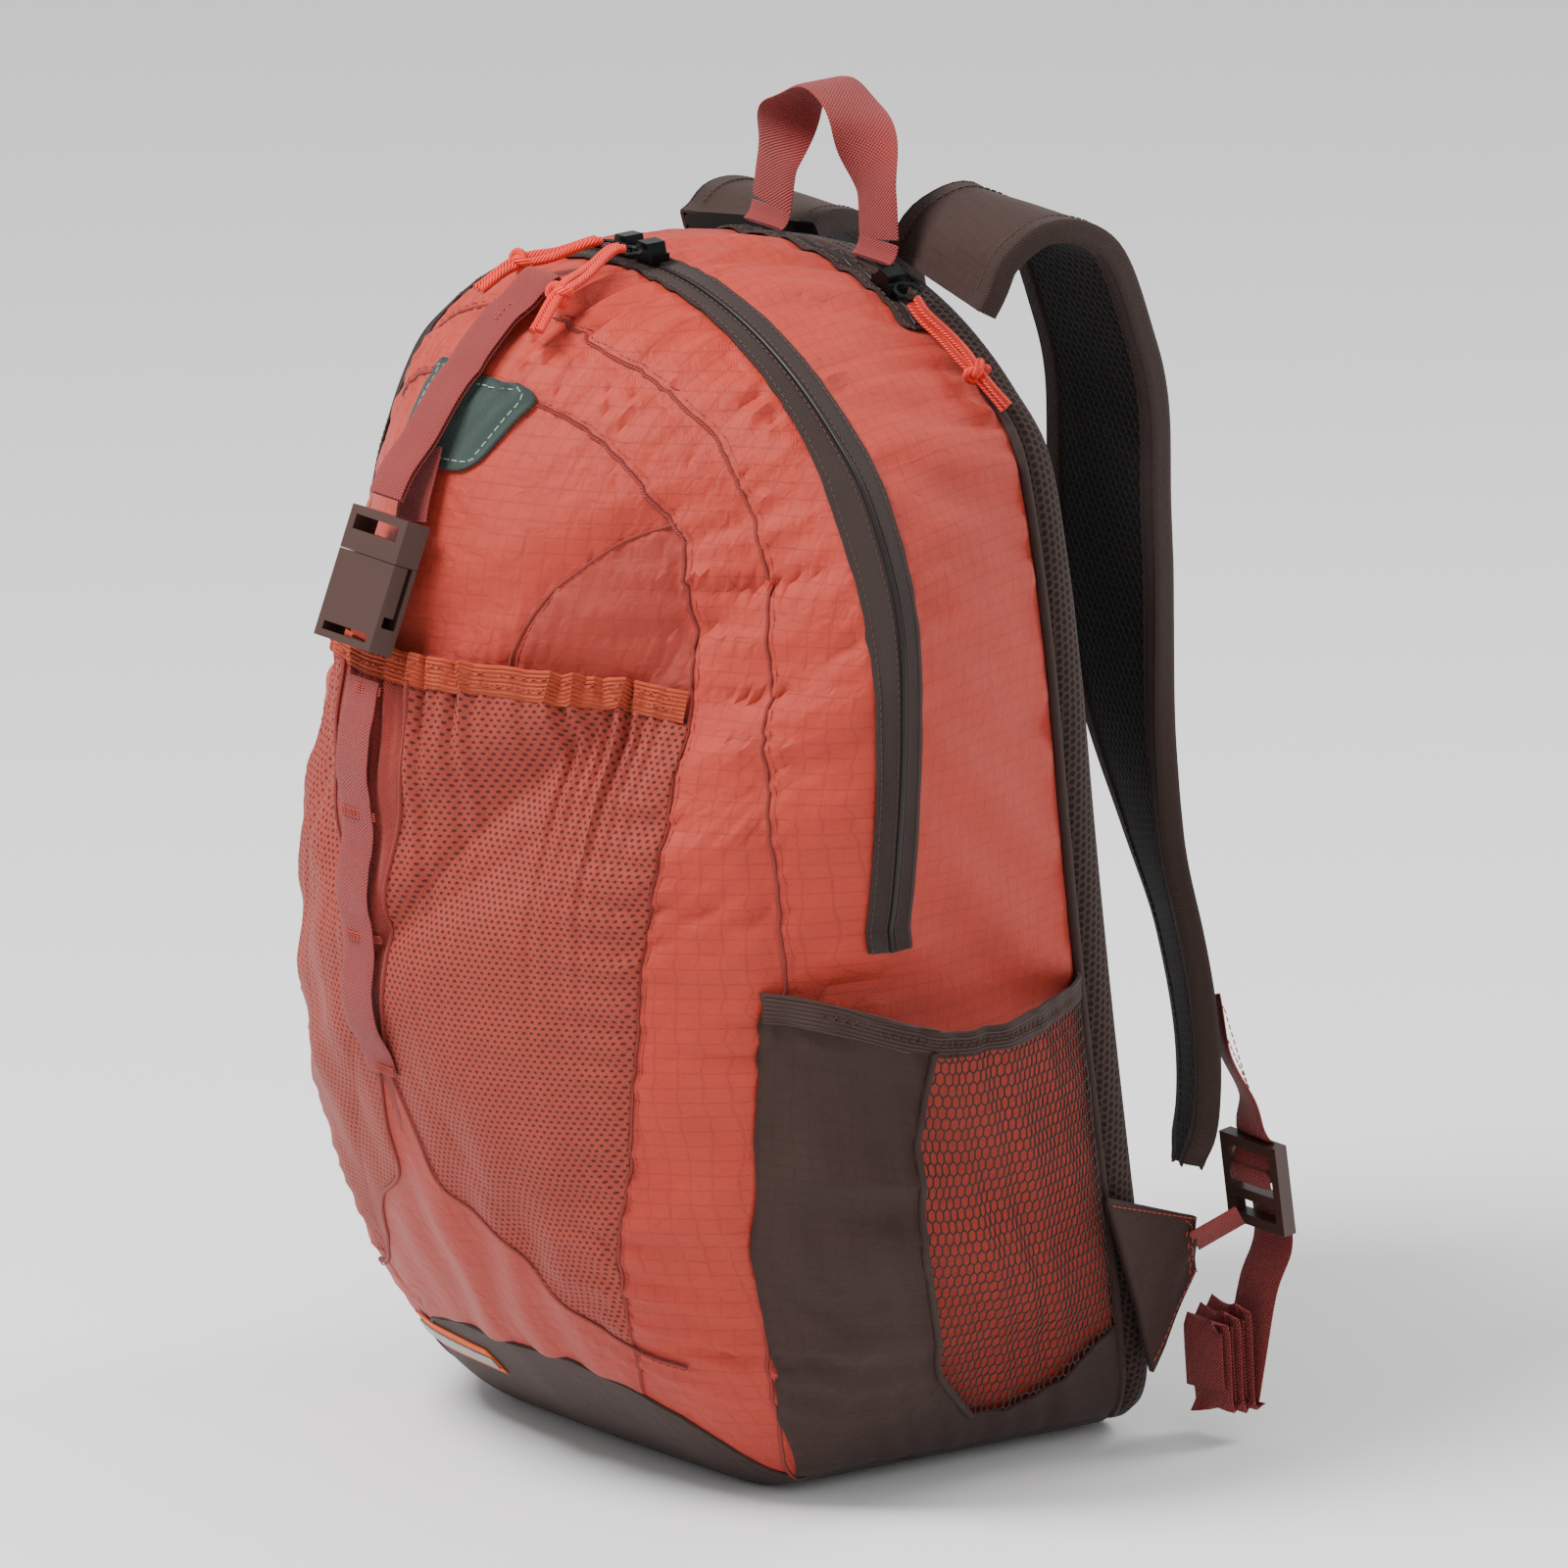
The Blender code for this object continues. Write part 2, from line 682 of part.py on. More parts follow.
def make_sliders(skin, looks):
    """The sliders, each on its arch, with their pullers."""
    top_z = ZIP_CENTRE_Z + ZIP_RADIUS + LIFT + 0.0012 + 0.0005
    lean = math.degrees((SLIDER_LENGTH / 2 + GAP) / ZIP_RADIUS)
    centre = (0, ZIP_Y, ZIP_CENTRE_Z)
    bridge_z = top_z + SLIDER_THICK + 0.0018
    for side, word in ((1, "right"), (-1, "left")):
        matrix = turned(centre, side * lean)
        body = slider_mesh((0, ZIP_Y, top_z), matrix)
        slider = add_object("main_zip_slider_" + word, body, looks["metal"], centre)
        make_puller(word, slider, (0, ZIP_Y, bridge_z), (0, -1, 0), PULL_ROUTES[word], looks, matrix)
    rear_centre = (0, 0, BACK_CENTRE_Z)
    matrix = turned(rear_centre, REAR_SLIDER_DEG)
    rear_z = BACK_CENTRE_Z + (skin.top(REAR_SLIDER_DEG, 0, 0, BACK_CENTRE_Z) - Vector(rear_centre)).length
    rear_z += LIFT + 0.0012 + 0.0016
    slider = add_object("rear_zip_slider", slider_mesh((0, 0, rear_z), matrix), looks["metal"], rear_centre)
    bridge = (0, 0, rear_z + SLIDER_THICK + 0.0018)
    make_puller("rear", slider, bridge, (1, 0, 0), PULL_ROUTES["rear"], looks, matrix)


def make_haul_loop(looks):
    """The carrying loop, which is flat to the back at its roots and turns flat at its top."""
    leg = [(HAUL_HALF_SPAN, 0.014, HAUL_ROOT_Z), (HAUL_HALF_SPAN - 0.004, 0.015, 0.515)]
    leg += [(0.020, 0.015, 0.538)]
    path = [mirror(p, -1) for p in leg] + [Vector((0, 0.015, HAUL_TOP_Z))] + [Vector(p) for p in leg[::-1]]
    stations = spline(path, HAUL_STATIONS)

    def across(share, _place):
        twist = math.pi / 2 * smooth(0.12, 0.42, min(share, 1 - share))
        return Vector((math.cos(twist), math.sin(twist), 0))

    bm = ribbon(stations, across, lambda _share: HAUL_WIDTH, WEBBING)
    add_object("haul_loop", bm, looks["webbing"], (0, 0.014, HAUL_ROOT_Z))


# The straps' routes; the left one lies lower over the top than the right one.
STRAP_TOPS = {
    "right": (
        (0.062, 0.024, 0.4770),
        (0.066, 0.034, 0.4950),
        (0.072, 0.053, 0.5030),
        (0.075, 0.075, 0.4910),
    ),
    "left": (
        (0.062, 0.024, 0.4750),
        (0.066, 0.038, 0.4790),
        (0.072, 0.057, 0.4760),
        (0.075, 0.076, 0.4660),
    ),
}
STRAP_LENGTH = (
    (0.076, 0.090, 0.4550),
    (0.077, 0.097, 0.4250),
    (0.075, 0.100, 0.3800),
    (0.075, 0.103, 0.3350),
    (0.080, 0.106, 0.2900),
    (0.091, 0.110, 0.2430),
    (0.106, 0.112, 0.2030),
    (0.118, 0.111, 0.1660),
    (0.123, 0.108, 0.1350),
    (0.124, 0.102, 0.1120),
)
STRAP_TWIST_DEG = 24.0
# The back panel's thickness that these routes were laid for.
ROUTED_PAD = 0.022
STRAP_END_WEBBING = ((0.1190, 0.1190, 0.178), (0.1265, 0.1185, 0.157), (0.1370, 0.1216, 0.139))
LOCK_PLACE = Vector((0.139, 0.126, 0.103))
LOCK_TILT_DEG = 8.0
TAIL_ROUTE = ((0.142, 0.124, 0.060), (0.141, 0.119, 0.030), (0.140, 0.116, 0.012))
TAIL_THICK = 0.004
FOLD_ROUTE = ((0.138, 0.108, 0.056), (0.138, 0.106, 0.036), (0.138, 0.105, 0.012))
FOLD_THICK = 0.013
WING_THICK = 0.0022
WING = ((0.142, 0.044, 0.112), (0.135, 0.074, 0.032), (0.131, 0.099, 0.092), (0.128, 0.101, 0.068))


def mirror(point, side):
    return Vector((side * point[0], point[1], point[2]))


def behind_pad(point, side):
    """A place of the straps' routes, which keep their distance from the back panel's face."""
    return mirror(point, side) + Vector((0, PAD - ROUTED_PAD, 0))


def strap_width(share):
    widths = (STRAP_TOP_WIDTH, STRAP_TOP_WIDTH, 0.062, 0.044, STRAP_END_WIDTH)
    return lerp(share, (0, 0.45, 0.65, 0.85, 1), widths)


def make_strap(side, word, looks):
    """One shoulder strap with the webbing, the ladder lock, the tail and the wing below it."""
    route = STRAP_TOPS[word] + STRAP_LENGTH
    pivot = behind_pad(route[0], side)
    path = spline([behind_pad(p, side) for p in route], 30)

    def across(share, _place):
        twist = math.radians(STRAP_TWIST_DEG) * smooth(0.45, 0.8, share)
        return Vector((side * math.cos(twist), -math.sin(twist), 0)) * side

    body = ribbon(path, across, strap_width, STRAP_THICK)
    strap = add_object("shoulder_strap_" + word, body, looks["strap_mesh"], pivot)
    frame = Matrix.Rotation(math.radians(LOCK_TILT_DEG), 4, "X")
    frame.translation = behind_pad(LOCK_PLACE, side)
    upper = frame @ Vector((0, 0, LOCK_LENGTH / 2 + 0.0045))
    lead = [behind_pad(p, side) for p in STRAP_END_WEBBING] + [upper]

    def turned_back(share, place):
        return across(1.0, place).lerp(Vector((1, 0, 0)), smooth(0.3, 0.9, share))

    bm = ribbon(spline(lead, 10), turned_back, lambda _share: HAUL_WIDTH, WEBBING)
    add_object("strap_end_webbing_" + word, bm, looks["webbing"], pivot, strap)
    make_lock(side, word, frame, looks, strap)
    lower = frame @ Vector((0, -0.0105, -LOCK_LENGTH / 2 + 0.008))
    wing_tip = (behind_pad(WING[2], side) + behind_pad(WING[3], side)) / 2
    away = (lower - wing_tip).normalized()
    start = wing_tip + away * 0.0050
    bm = ribbon(
        [lower.lerp(start, t) for t in np.linspace(0, 1, 4)],
        lambda _share, _place: Vector((side * 0.65, 0, 0.76)),
        lambda _share: STRAP_WIDTH,
        WEBBING,
    )
    add_object("lower_webbing_" + word, bm, looks["webbing"], pivot, strap)
    make_wing(side, word, looks)


def make_lock(side, word, frame, looks, strap):
    """The ladder lock's frame with its cross bars, and the webbing tail that hangs from it."""
    width, length, thick = LOCK_WIDTH / 2, LOCK_LENGTH / 2, LOCK_THICK / 2
    bm = bmesh.new()
    box(bm, (-width, -thick, -length), (width, thick, length))
    bmesh.ops.transform(bm, matrix=frame, verts=bm.verts)
    hinge = frame @ Vector((0, 0, length))
    lock = add_object("ladder_lock_" + word, bm, looks["acetal"], hinge, strap)
    slot = (LOCK_LENGTH - 4 * LOCK_RAIL) / 3
    for k in range(3):
        low = -length + LOCK_RAIL + k * (slot + LOCK_RAIL)
        start, end = (-width + LOCK_RAIL, -0.02, low), (width - LOCK_RAIL, 0.02, low + slot)
        hole = cutter(f"lock_slot_{word}_{k}", start, end)
        hole.matrix_world = frame
        boolean(lock, hole, "DIFFERENCE")
    top = frame @ Vector((0, 0.0062, -length + 0.012))
    tail = [top, top + Vector((0, 0.002, -0.020))] + [behind_pad(p, side) for p in TAIL_ROUTE]
    bm = ribbon(spline(tail, 10), across_x, lambda _share: HAUL_WIDTH, TAIL_THICK)
    add_object("webbing_tail_" + word, bm, looks["webbing"], top, lock)
    bundle = [behind_pad(p, side) for p in FOLD_ROUTE]
    bm = ribbon(spline(bundle, 4), across_x, lambda _share: HAUL_WIDTH, FOLD_THICK)
    add_object("webbing_fold_" + word, bm, looks["webbing"], top, lock)


def make_wing(side, word, looks):
    """The three-cornered wing sewn beside the back panel, which takes the strap's lower end."""
    top, bottom = (mirror(p, side) for p in WING[:2])
    tip_top, tip_bottom = (behind_pad(p, side) for p in WING[2:])
    thickness = Vector((side * WING_THICK, 0, 0))
    middle, tip_middle = (top + bottom) / 2, (tip_top + tip_bottom) / 2
    grid = []
    for t in np.linspace(0, 1, 5):
        grid.append([top.lerp(tip_top, t), middle.lerp(tip_middle, t), bottom.lerp(tip_bottom, t)])
    outer = [[p + thickness for p in row] for row in grid]
    add_object("wing_" + word, sheet(outer, grid), looks["base_cloth"])


def make_compression(skin, looks):
    """The strap over the patch, its loose tail and the side-release buckle."""
    half = STRAP_WIDTH / 2

    def lift(z):
        over_patch = 0.008 * smooth(0.445, 0.41, z) * smooth(0.36, 0.40, z)
        return 0.0040 + over_patch + 0.004 * smooth(0.43, 0.39, z)

    strap = flat_on_front(skin, lambda z: (-half, half), FRONT_STRAP_SPAN_Z, lift, WEBBING * 2, 12)
    anchor = skin.front(0, FRONT_STRAP_SPAN_Z[1], 0.004)
    strap = add_object("compression_strap", strap, looks["webbing"], anchor)

    def tail_span(_z):
        return -half + 0.004, half + 0.003

    tail = flat_on_front(skin, tail_span, FRONT_TAIL_SPAN_Z, lambda z: 2 * LIFT + PATCH_THICK, WEBBING, 7)
    add_object("compression_strap_tail", tail, looks["webbing"], anchor, strap)
    top = skin.front(0, 0.398, 0.0110)
    bottom = skin.front(0, 0.3475, 0.0190)
    down = (bottom - top).normalized()
    out = Vector((1, 0, 0)).cross(down)
    out = out if out.y < 0 else -out
    frame = Matrix((Vector((1, 0, 0)), out, down)).transposed().to_4x4()
    frame.translation = top
    make_buckle(frame, looks)


def framed_box(parts, frame):
    """Boxes in a frame as one bmesh; the first is whole and the others are for a union."""
    made = []
    for low, high in parts:
        bm = bmesh.new()
        box(bm, low, high)
        bmesh.ops.transform(bm, matrix=frame, verts=bm.verts)
        made.append(bm)
    return made


def make_buckle(frame, looks):
    """The plug on the strap, its two prongs, and the socket sewn to the daisy chain."""
    w, t = BUCKLE_WIDTH / 2, BUCKLE_THICK / 2
    blade_low = (-BLADE_WIDTH / 2, -BLADE_THICK / 2, PLUG_LENGTH - 0.002)
    blade_high = (BLADE_WIDTH / 2, BLADE_THICK / 2, PLUG_LENGTH + PRONG_LENGTH)
    plug_bm, blade_bm = framed_box([((-w, -t, 0), (w, t, PLUG_LENGTH)), (blade_low, blade_high)], frame)
    plug_at = frame @ Vector((0, 0, PLUG_LENGTH))
    plug = add_object("buckle_plug", plug_bm, looks["acetal"], plug_at)
    blade = add_object("plug_blade", blade_bm, looks["acetal"], plug_at)
    blade.hide_render = True
    blade.display_type = "WIRE"
    boolean(plug, blade, "UNION")
    slot = cutter("plug_slot", (-w + 0.004, -0.02, 0.0035), (w - 0.004, 0.02, 0.0095))
    slot.matrix_world = frame
    boolean(plug, slot, "DIFFERENCE")
    start = PLUG_LENGTH + GAP
    for side, word in ((1, "right"), (-1, "left")):
        inner, outer = side * (w - 0.0015 - PRONG_WIDTH), side * (w - 0.0015)
        low = (min(inner, outer), -0.0026, start)
        high = (max(inner, outer), 0.0026, start + PRONG_LENGTH)
        (prong,) = framed_box([(low, high)], frame)
        hinge = frame @ Vector(((inner + outer) / 2, 0, start))
        add_object("buckle_prong_" + word, prong, looks["acetal"], hinge, plug)
    profile = [(-t, 0), (-t + SOCKET_WALL, 0), (-t + SOCKET_WALL, 0.0255), (t - SOCKET_WALL, 0.0255)]
    profile += [(t - SOCKET_WALL, 0), (t, 0), (t, SOCKET_LENGTH), (-t, SOCKET_LENGTH)]
    begin = PLUG_LENGTH + GAP
    rings = [[frame @ Vector((x, a, begin + b)) for a, b in profile] for x in (-w, w)]
    socket = add_object("buckle_socket", loft(rings), looks["acetal"])
    slot = cutter("socket_slot", (-w + 0.004, -0.02, begin + 0.0295), (w - 0.004, 0.02, begin + 0.0330))
    slot.matrix_world = frame
    boolean(socket, slot, "DIFFERENCE")


def main():
    clear_scene()
    looks = {
        "shell_cloth": finish("coral_ripstop", "C8624F", 0.62),
        "lining": finish("lining", "6E4A44", 0.8),
        "base_cloth": finish("brown_twill", "4A322C", 0.7),
        "spacer_mesh": finish("spacer_mesh", "54403A", 0.9),
        "strap_mesh": finish("strap_mesh", "3A2F2E", 0.9),
        "stretch_mesh": finish("stretch_mesh", "A84C46", 0.8),
        "open_net": finish("open_net", "6B423B", 0.85),
        "elastic": finish("coral_elastic", "B4583B", 0.75),
        "brown_elastic": finish("brown_elastic", "4C3733", 0.8),
        "webbing": finish("rosy_webbing", "B8565A", 0.7),
        "zip_tape": finish("zip_tape", "4C3C38", 0.7),
        "patch": finish("coated_patch", "42514F", 0.6),
        "reflective": finish("reflective_tape", "FF6A22", 0.5),
        "cord": finish("pull_cord", "FF5340", 0.6),
        "acetal": finish("brown_acetal", "55403A", 0.35),
        "metal": finish("black_metal", "2A3231", 0.35, 0.9),
    }
    skin = Skin()
    make_body(looks)
    make_back_panel(looks)
    make_front_pocket(skin, looks)
    make_side_pockets(skin, looks)
    make_front_trim(skin, looks)
    make_zip_tapes(skin, looks)
    make_sliders(skin, looks)
    make_haul_loop(looks)
    for side, word in ((1, "right"), (-1, "left")):
        make_strap(side, word, looks)
    make_compression(skin, looks)


main()
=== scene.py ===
"""The look of a packed hiking daypack, dressed over its CAD frame.

The pack stands on its base; its front faces -Y, the wearer's back is at +Y and +X is the wearer's right.
Lengths are in metres unless a name says otherwise.
"""

import logging
import math
from collections.abc import Callable, Sequence
from dataclasses import dataclass, field
from enum import Enum

import bmesh
import bpy
import numpy as np
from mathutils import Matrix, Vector
from mathutils.bvhtree import BVHTree

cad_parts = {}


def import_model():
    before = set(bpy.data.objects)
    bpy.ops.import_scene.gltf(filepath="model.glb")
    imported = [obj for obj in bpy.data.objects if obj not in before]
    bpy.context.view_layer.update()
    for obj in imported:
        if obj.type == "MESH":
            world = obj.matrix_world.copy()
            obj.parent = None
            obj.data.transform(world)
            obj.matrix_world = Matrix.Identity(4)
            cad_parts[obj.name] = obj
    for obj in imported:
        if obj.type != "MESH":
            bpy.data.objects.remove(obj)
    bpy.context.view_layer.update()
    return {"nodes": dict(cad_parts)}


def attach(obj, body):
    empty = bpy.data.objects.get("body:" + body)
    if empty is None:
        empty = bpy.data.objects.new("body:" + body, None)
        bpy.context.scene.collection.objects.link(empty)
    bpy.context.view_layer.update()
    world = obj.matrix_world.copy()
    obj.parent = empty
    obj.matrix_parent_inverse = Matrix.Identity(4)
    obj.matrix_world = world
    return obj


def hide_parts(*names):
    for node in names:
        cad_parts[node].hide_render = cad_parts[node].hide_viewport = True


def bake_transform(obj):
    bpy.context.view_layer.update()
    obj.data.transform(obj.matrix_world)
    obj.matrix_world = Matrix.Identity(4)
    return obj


LOG = logging.getLogger("daypack")
ROOT = "sewn_body"
SIDES = (("right", 1), ("left", -1))
Array = np.ndarray
ALONG_X = np.array([1.0, 0, 0])


# --- Small mathematics -----------------------------------------------------------


def smooth(low: float, high: float, value: Array | float) -> Array:
    """A smooth step.

    Args:
        low: Where the step leaves 0.
        high: Where the step reaches 1.
        value: One number or an array.

    Returns:
        The step's height at each value.
    """
    t = np.clip((np.asarray(value, float) - low) / (high - low), 0, 1)
    return t * t * (3 - 2 * t)


def spline(points: Sequence[Sequence[float]], count: int) -> Array:
    """A Catmull-Rom curve.

    Args:
        points: The points that the curve passes.
        count: How many points to return, evenly spread in index.

    Returns:
        An array of count points.
    """
    known = np.asarray(points, float)
    ends = np.vstack([2 * known[:1] - known[1:2], known, 2 * known[-1:] - known[-2:-1]])
    at = np.linspace(0, len(known) - 1, count)
    k = np.minimum(at.astype(int), len(known) - 2)
    t = (at - k)[:, None]
    a, b, c, d = (ends[k + i] for i in range(4))
    return 0.5 * (2 * b + (c - a) * t + (2 * a - 5 * b + 4 * c - d) * t**2 + (3 * b - a - 3 * c + d) * t**3)


def gaps(path: Array) -> Array:
    """The lengths between a path's points."""
    return np.linalg.norm(np.diff(path, axis=0), axis=1)


def travelled(path: Array) -> Array:
    """How far along a path each of its points is."""
    return np.concatenate([[0], np.cumsum(gaps(path))])


def even(path: Array, step: float) -> Array:
    """The same path with its points a step apart, or nearly."""
    along = travelled(path)
    count = max(3, int(round(along[-1] / step)) + 1)
    at = np.linspace(0, along[-1], count)
    return np.stack([np.interp(at, along, path[:, i]) for i in range(3)], axis=1)


def unit(vectors: Array) -> Array:
    """Vectors scaled to length 1."""
    return vectors / np.maximum(np.linalg.norm(vectors, axis=-1, keepdims=True), 1e-12)


def ripple(values: Array, seed: int, terms: int = 5) -> Array:
    """A smooth random wave of about unit height whose mean wavelength is 1."""
    rng = np.random.default_rng(seed)
    total = np.zeros_like(values, dtype=float)
    for _ in range(terms):
        total += np.sin(2 * math.pi * (values * rng.uniform(0.55, 1.6) + rng.uniform()))
    return total / math.sqrt(terms)


def line_distance(points: Array, line: Array) -> tuple[Array, Array]:
    """How far points are from a polyline in the plane.

    Args:
        points: An (n, 2) array.
        line: An (m, 2) array of the line's points.

    Returns:
        Each point's distance, and how far along the line its nearest place is.
    """
    best = np.full(len(points), 1e9)
    where = np.zeros(len(points))
    start = 0.0
    for a, b in zip(line, line[1:]):
        step = b - a
        length = float(np.linalg.norm(step))
        t = np.clip(((points - a) @ step) / length**2, 0, 1)
        away = np.linalg.norm(points - a - t[:, None] * step, axis=1)
        nearer = away < best
        best = np.where(nearer, away, best)
        where = np.where(nearer, start + t * length, where)
        start += length
    return best, where


def mirror(point: Sequence[float], side: int) -> Array:
    """A point of the right side, or its mirror image on the left."""
    return np.array([side * point[0], point[1], point[2]])


# --- Materials -------------------------------------------------------------------


def linear(colour: str) -> tuple[float, float, float, float]:
    """An sRGB colour written as hex, as linear light."""
    channels = [int(colour[i : i + 2], 16) / 255 for i in (0, 2, 4)]
    return (*(c / 12.92 if c <= 0.04045 else ((c + 0.055) / 1.055) ** 2.4 for c in channels), 1)


class Weave(Enum):
    """What the surface of a cloth or a moulding shows close up."""

    RIPSTOP = "ripstop"
    TWILL = "twill"
    SPACER = "spacer"
    PINHOLE = "pinhole"
    WEBBING = "webbing"
    ELASTIC = "elastic"
    BRAID = "braid"
    PLAIN = "plain"


# How much of the second colour the valleys between a weave's ribs show.
RIB_SHADOW = {Weave.TWILL: 0.18, Weave.ELASTIC: 0.22, Weave.BRAID: 0.15}


@dataclass(frozen=True)
class Finish:
    """One finish.

    Args:
        name: The real material's name.
        colour: Its colour in hex.
        other: The colour of its threads in shadow, or of what shows through it.
        weave: Its pattern.
        pitch: The pattern's repeat.
        roughness: Of the whole surface.
        sheen: The cloth's soft rim light.
        metallic: 1 for bare metal.
        relief: The pattern's height.
        crease: The height of small creases.
        gloss: The strength of its highlights; a moulded or metal piece has 0.5.
    """

    name: str
    colour: str
    other: str
    weave: Weave = Weave.PLAIN
    pitch: float = 0.001
    roughness: float = 0.6
    sheen: float = 0.0
    metallic: float = 0.0
    relief: float = 0.0002
    crease: float = 0.0
    gloss: float = 0.28


class Graph:
    """A material's node tree, written one node at a time."""

    def __init__(self, name: str) -> None:
        self.material = bpy.data.materials.new(name)
        self.material.use_nodes = True
        self.tree = self.material.node_tree
        self.shader = self.tree.nodes["Principled BSDF"]

    def node(self, kind: str, settings: dict | None = None, **inputs: object) -> bpy.types.Node:
        """Adds a node; an input that is a socket is linked and any other is set."""
        made = self.tree.nodes.new(kind)
        for key, value in (settings or {}).items():
            setattr(made, key, value)
        self.feed(made, **inputs)
        return made

    def feed(self, made: bpy.types.Node, **inputs: object) -> None:
        """Links or sets a node's inputs, named with _ for a space or as iN for the Nth."""
        for key, value in inputs.items():
            place = int(key[1:]) if key[0] == "i" and key[1:].isdigit() else key.replace("_", " ")
            socket = made.inputs[place]
            if isinstance(value, bpy.types.NodeSocket):
                self.tree.links.new(value, socket)
            else:
                socket.default_value = value

    def maths(self, operation: str, first: object, second: object = 0.0) -> bpy.types.NodeSocket:
        """One arithmetic step."""
        return self.node("ShaderNodeMath", {"operation": operation}, i0=first, i1=second).outputs[0]

    def mix(self, share: object, first: object, second: object) -> bpy.types.NodeSocket:
        """Two colours mixed."""
        made = self.node("ShaderNodeMix", {"data_type": "RGBA"}, i0=share, i6=first, i7=second)
        return made.outputs[2]

    def cell(self, coordinate: object, pitch: float) -> bpy.types.NodeSocket:
        """How far a coordinate is from the middle of its cell, from 0 to 0.5."""
        share = self.maths("FRACT", self.maths("DIVIDE", coordinate, pitch))
        return self.maths("ABSOLUTE", self.maths("SUBTRACT", share, 0.5))

    def wave(self, coordinate: object, pitch: float) -> bpy.types.NodeSocket:
        """A wave from -1 to 1 along a coordinate."""
        return self.maths("SINE", self.maths("MULTIPLY", coordinate, 2 * math.pi / pitch))


class Paints:
    """Makes each finish once."""

    def __init__(self) -> None:
        self.made: dict[str, bpy.types.Material] = {}

    def of(self, finish: Finish) -> bpy.types.Material:
        """The finish's material."""
        if finish.name not in self.made:
            self.made[finish.name] = self.build(finish)
        return self.made[finish.name]

    def pattern(self, graph: Graph, finish: Finish, u: object, v: object) -> tuple[object, object]:
        """(height from 0 to 1, how much of the other colour shows) for a weave."""
        pitch = finish.pitch
        if finish.weave is Weave.RIPSTOP:
            # Doubled threads every few millimetres stand up as a fine grid of squares.
            lines = graph.maths("MAXIMUM", graph.cell(u, pitch), graph.cell(v, pitch))
            grid = graph.maths("GREATER_THAN", lines, 0.455)
            thread = graph.maths("MULTIPLY", graph.wave(u, pitch / 9), graph.wave(v, pitch / 9))
            height = graph.maths("ADD", grid, graph.maths("MULTIPLY", thread, 0.35))
            return height, graph.maths("MULTIPLY", grid, 0.35)
        if finish.weave in RIB_SHADOW:
            # Ribs that slant in a twill and a braid, and run lengthwise over an elastic's rubber threads.
            rib = graph.wave(u if finish.weave is Weave.ELASTIC else graph.maths("ADD", u, v), pitch)
            return rib, graph.maths("MULTIPLY", graph.maths("ADD", rib, 1.0), RIB_SHADOW[finish.weave])
        if finish.weave in (Weave.SPACER, Weave.PINHOLE):
            # Staggered holes that let the dark layer behind show.
            row = graph.maths("FLOOR", graph.maths("DIVIDE", v, pitch * 0.87))
            shift = graph.maths("MULTIPLY", graph.maths("MODULO", row, 2.0), pitch / 2)
            a = graph.cell(graph.maths("ADD", u, shift), pitch)
            b = graph.maths("MULTIPLY", graph.cell(v, pitch * 0.87), 0.87)
            squares = graph.maths("ADD", graph.maths("MULTIPLY", a, a), graph.maths("MULTIPLY", b, b))
            away = graph.maths("SQRT", squares)
            wide = 0.36 if finish.weave is Weave.SPACER else 0.24
            soft = graph.node("ShaderNodeMapRange", {"interpolation_type": "SMOOTHSTEP"}, Value=away)
            graph.feed(soft, From_Min=wide - 0.10, From_Max=wide + 0.06)
            height = soft.outputs[0]
            return height, graph.maths("SUBTRACT", 1.0, height)
        if finish.weave is Weave.WEBBING:
            # Fat warp cords crossed by a flat weft, as in polyester webbing.
            height = graph.maths("MULTIPLY", graph.wave(u, pitch), graph.wave(v, pitch * 0.8))
            return height, graph.maths("MULTIPLY", graph.maths("ADD", height, 1.0), 0.30)
        return graph.maths("MULTIPLY", u, 0.0), 0.0

    def build(self, finish: Finish) -> bpy.types.Material:
        """A Principled material with the weave's colour and relief."""
        graph = Graph(finish.name)
        cloth_map = graph.node("ShaderNodeUVMap", {"uv_map": "cloth"}).outputs[0]
        uv = graph.node("ShaderNodeSeparateXYZ", None, Vector=cloth_map)
        height, other = self.pattern(graph, finish, uv.outputs[0], uv.outputs[1])
        place = graph.node("ShaderNodeTexCoord").outputs["Object"]
        blotch = graph.node("ShaderNodeTexNoise", None, Vector=place, Scale=55.0, Detail=3.0).outputs[0]
        colour = graph.mix(other, linear(finish.colour), linear(finish.other))
        # The shade attribute deepens the colour towards the second one: a darker twill panel in places, and
        # painted shade on the low front.
        shade = graph.node("ShaderNodeAttribute", {"attribute_name": "shade"}).outputs["Fac"]
        colour = graph.mix(shade, colour, linear(finish.other))
        worn = graph.node("ShaderNodeHueSaturation", None, Color=colour)
        graph.feed(worn, Value=graph.maths("MULTIPLY_ADD", blotch, 0.22))
        worn.inputs["Value"].links[0].from_node.inputs[2].default_value = 0.89
        graph.feed(
            graph.shader, Base_Color=worn.outputs[0], Roughness=finish.roughness, Metallic=finish.metallic
        )
        graph.feed(
            graph.shader, Sheen_Weight=finish.sheen, Sheen_Roughness=0.45, Specular_IOR_Level=finish.gloss
        )
        bump = graph.node("ShaderNodeBump", None, Height=height, Strength=1.0, Distance=finish.relief)
        if finish.crease:
            fold = graph.node(
                "ShaderNodeTexNoise", None, Vector=place, Scale=140.0, Detail=4.0, Distortion=0.6
            )
            crease = graph.node("ShaderNodeBump", None, Height=fold.outputs[0], Distance=finish.crease)
            graph.feed(bump, Normal=crease.outputs[0])
        graph.feed(graph.shader, Normal=bump.outputs[0])
        return graph.material


# Satin ripstop: a grid of raised threads and small creases that catch the light.
CORAL = Finish(
    "coral_ripstop", "AC3527", "86291F", Weave.RIPSTOP, 0.0062, 0.50, 0.05, relief=0.00016, crease=0.0011
)
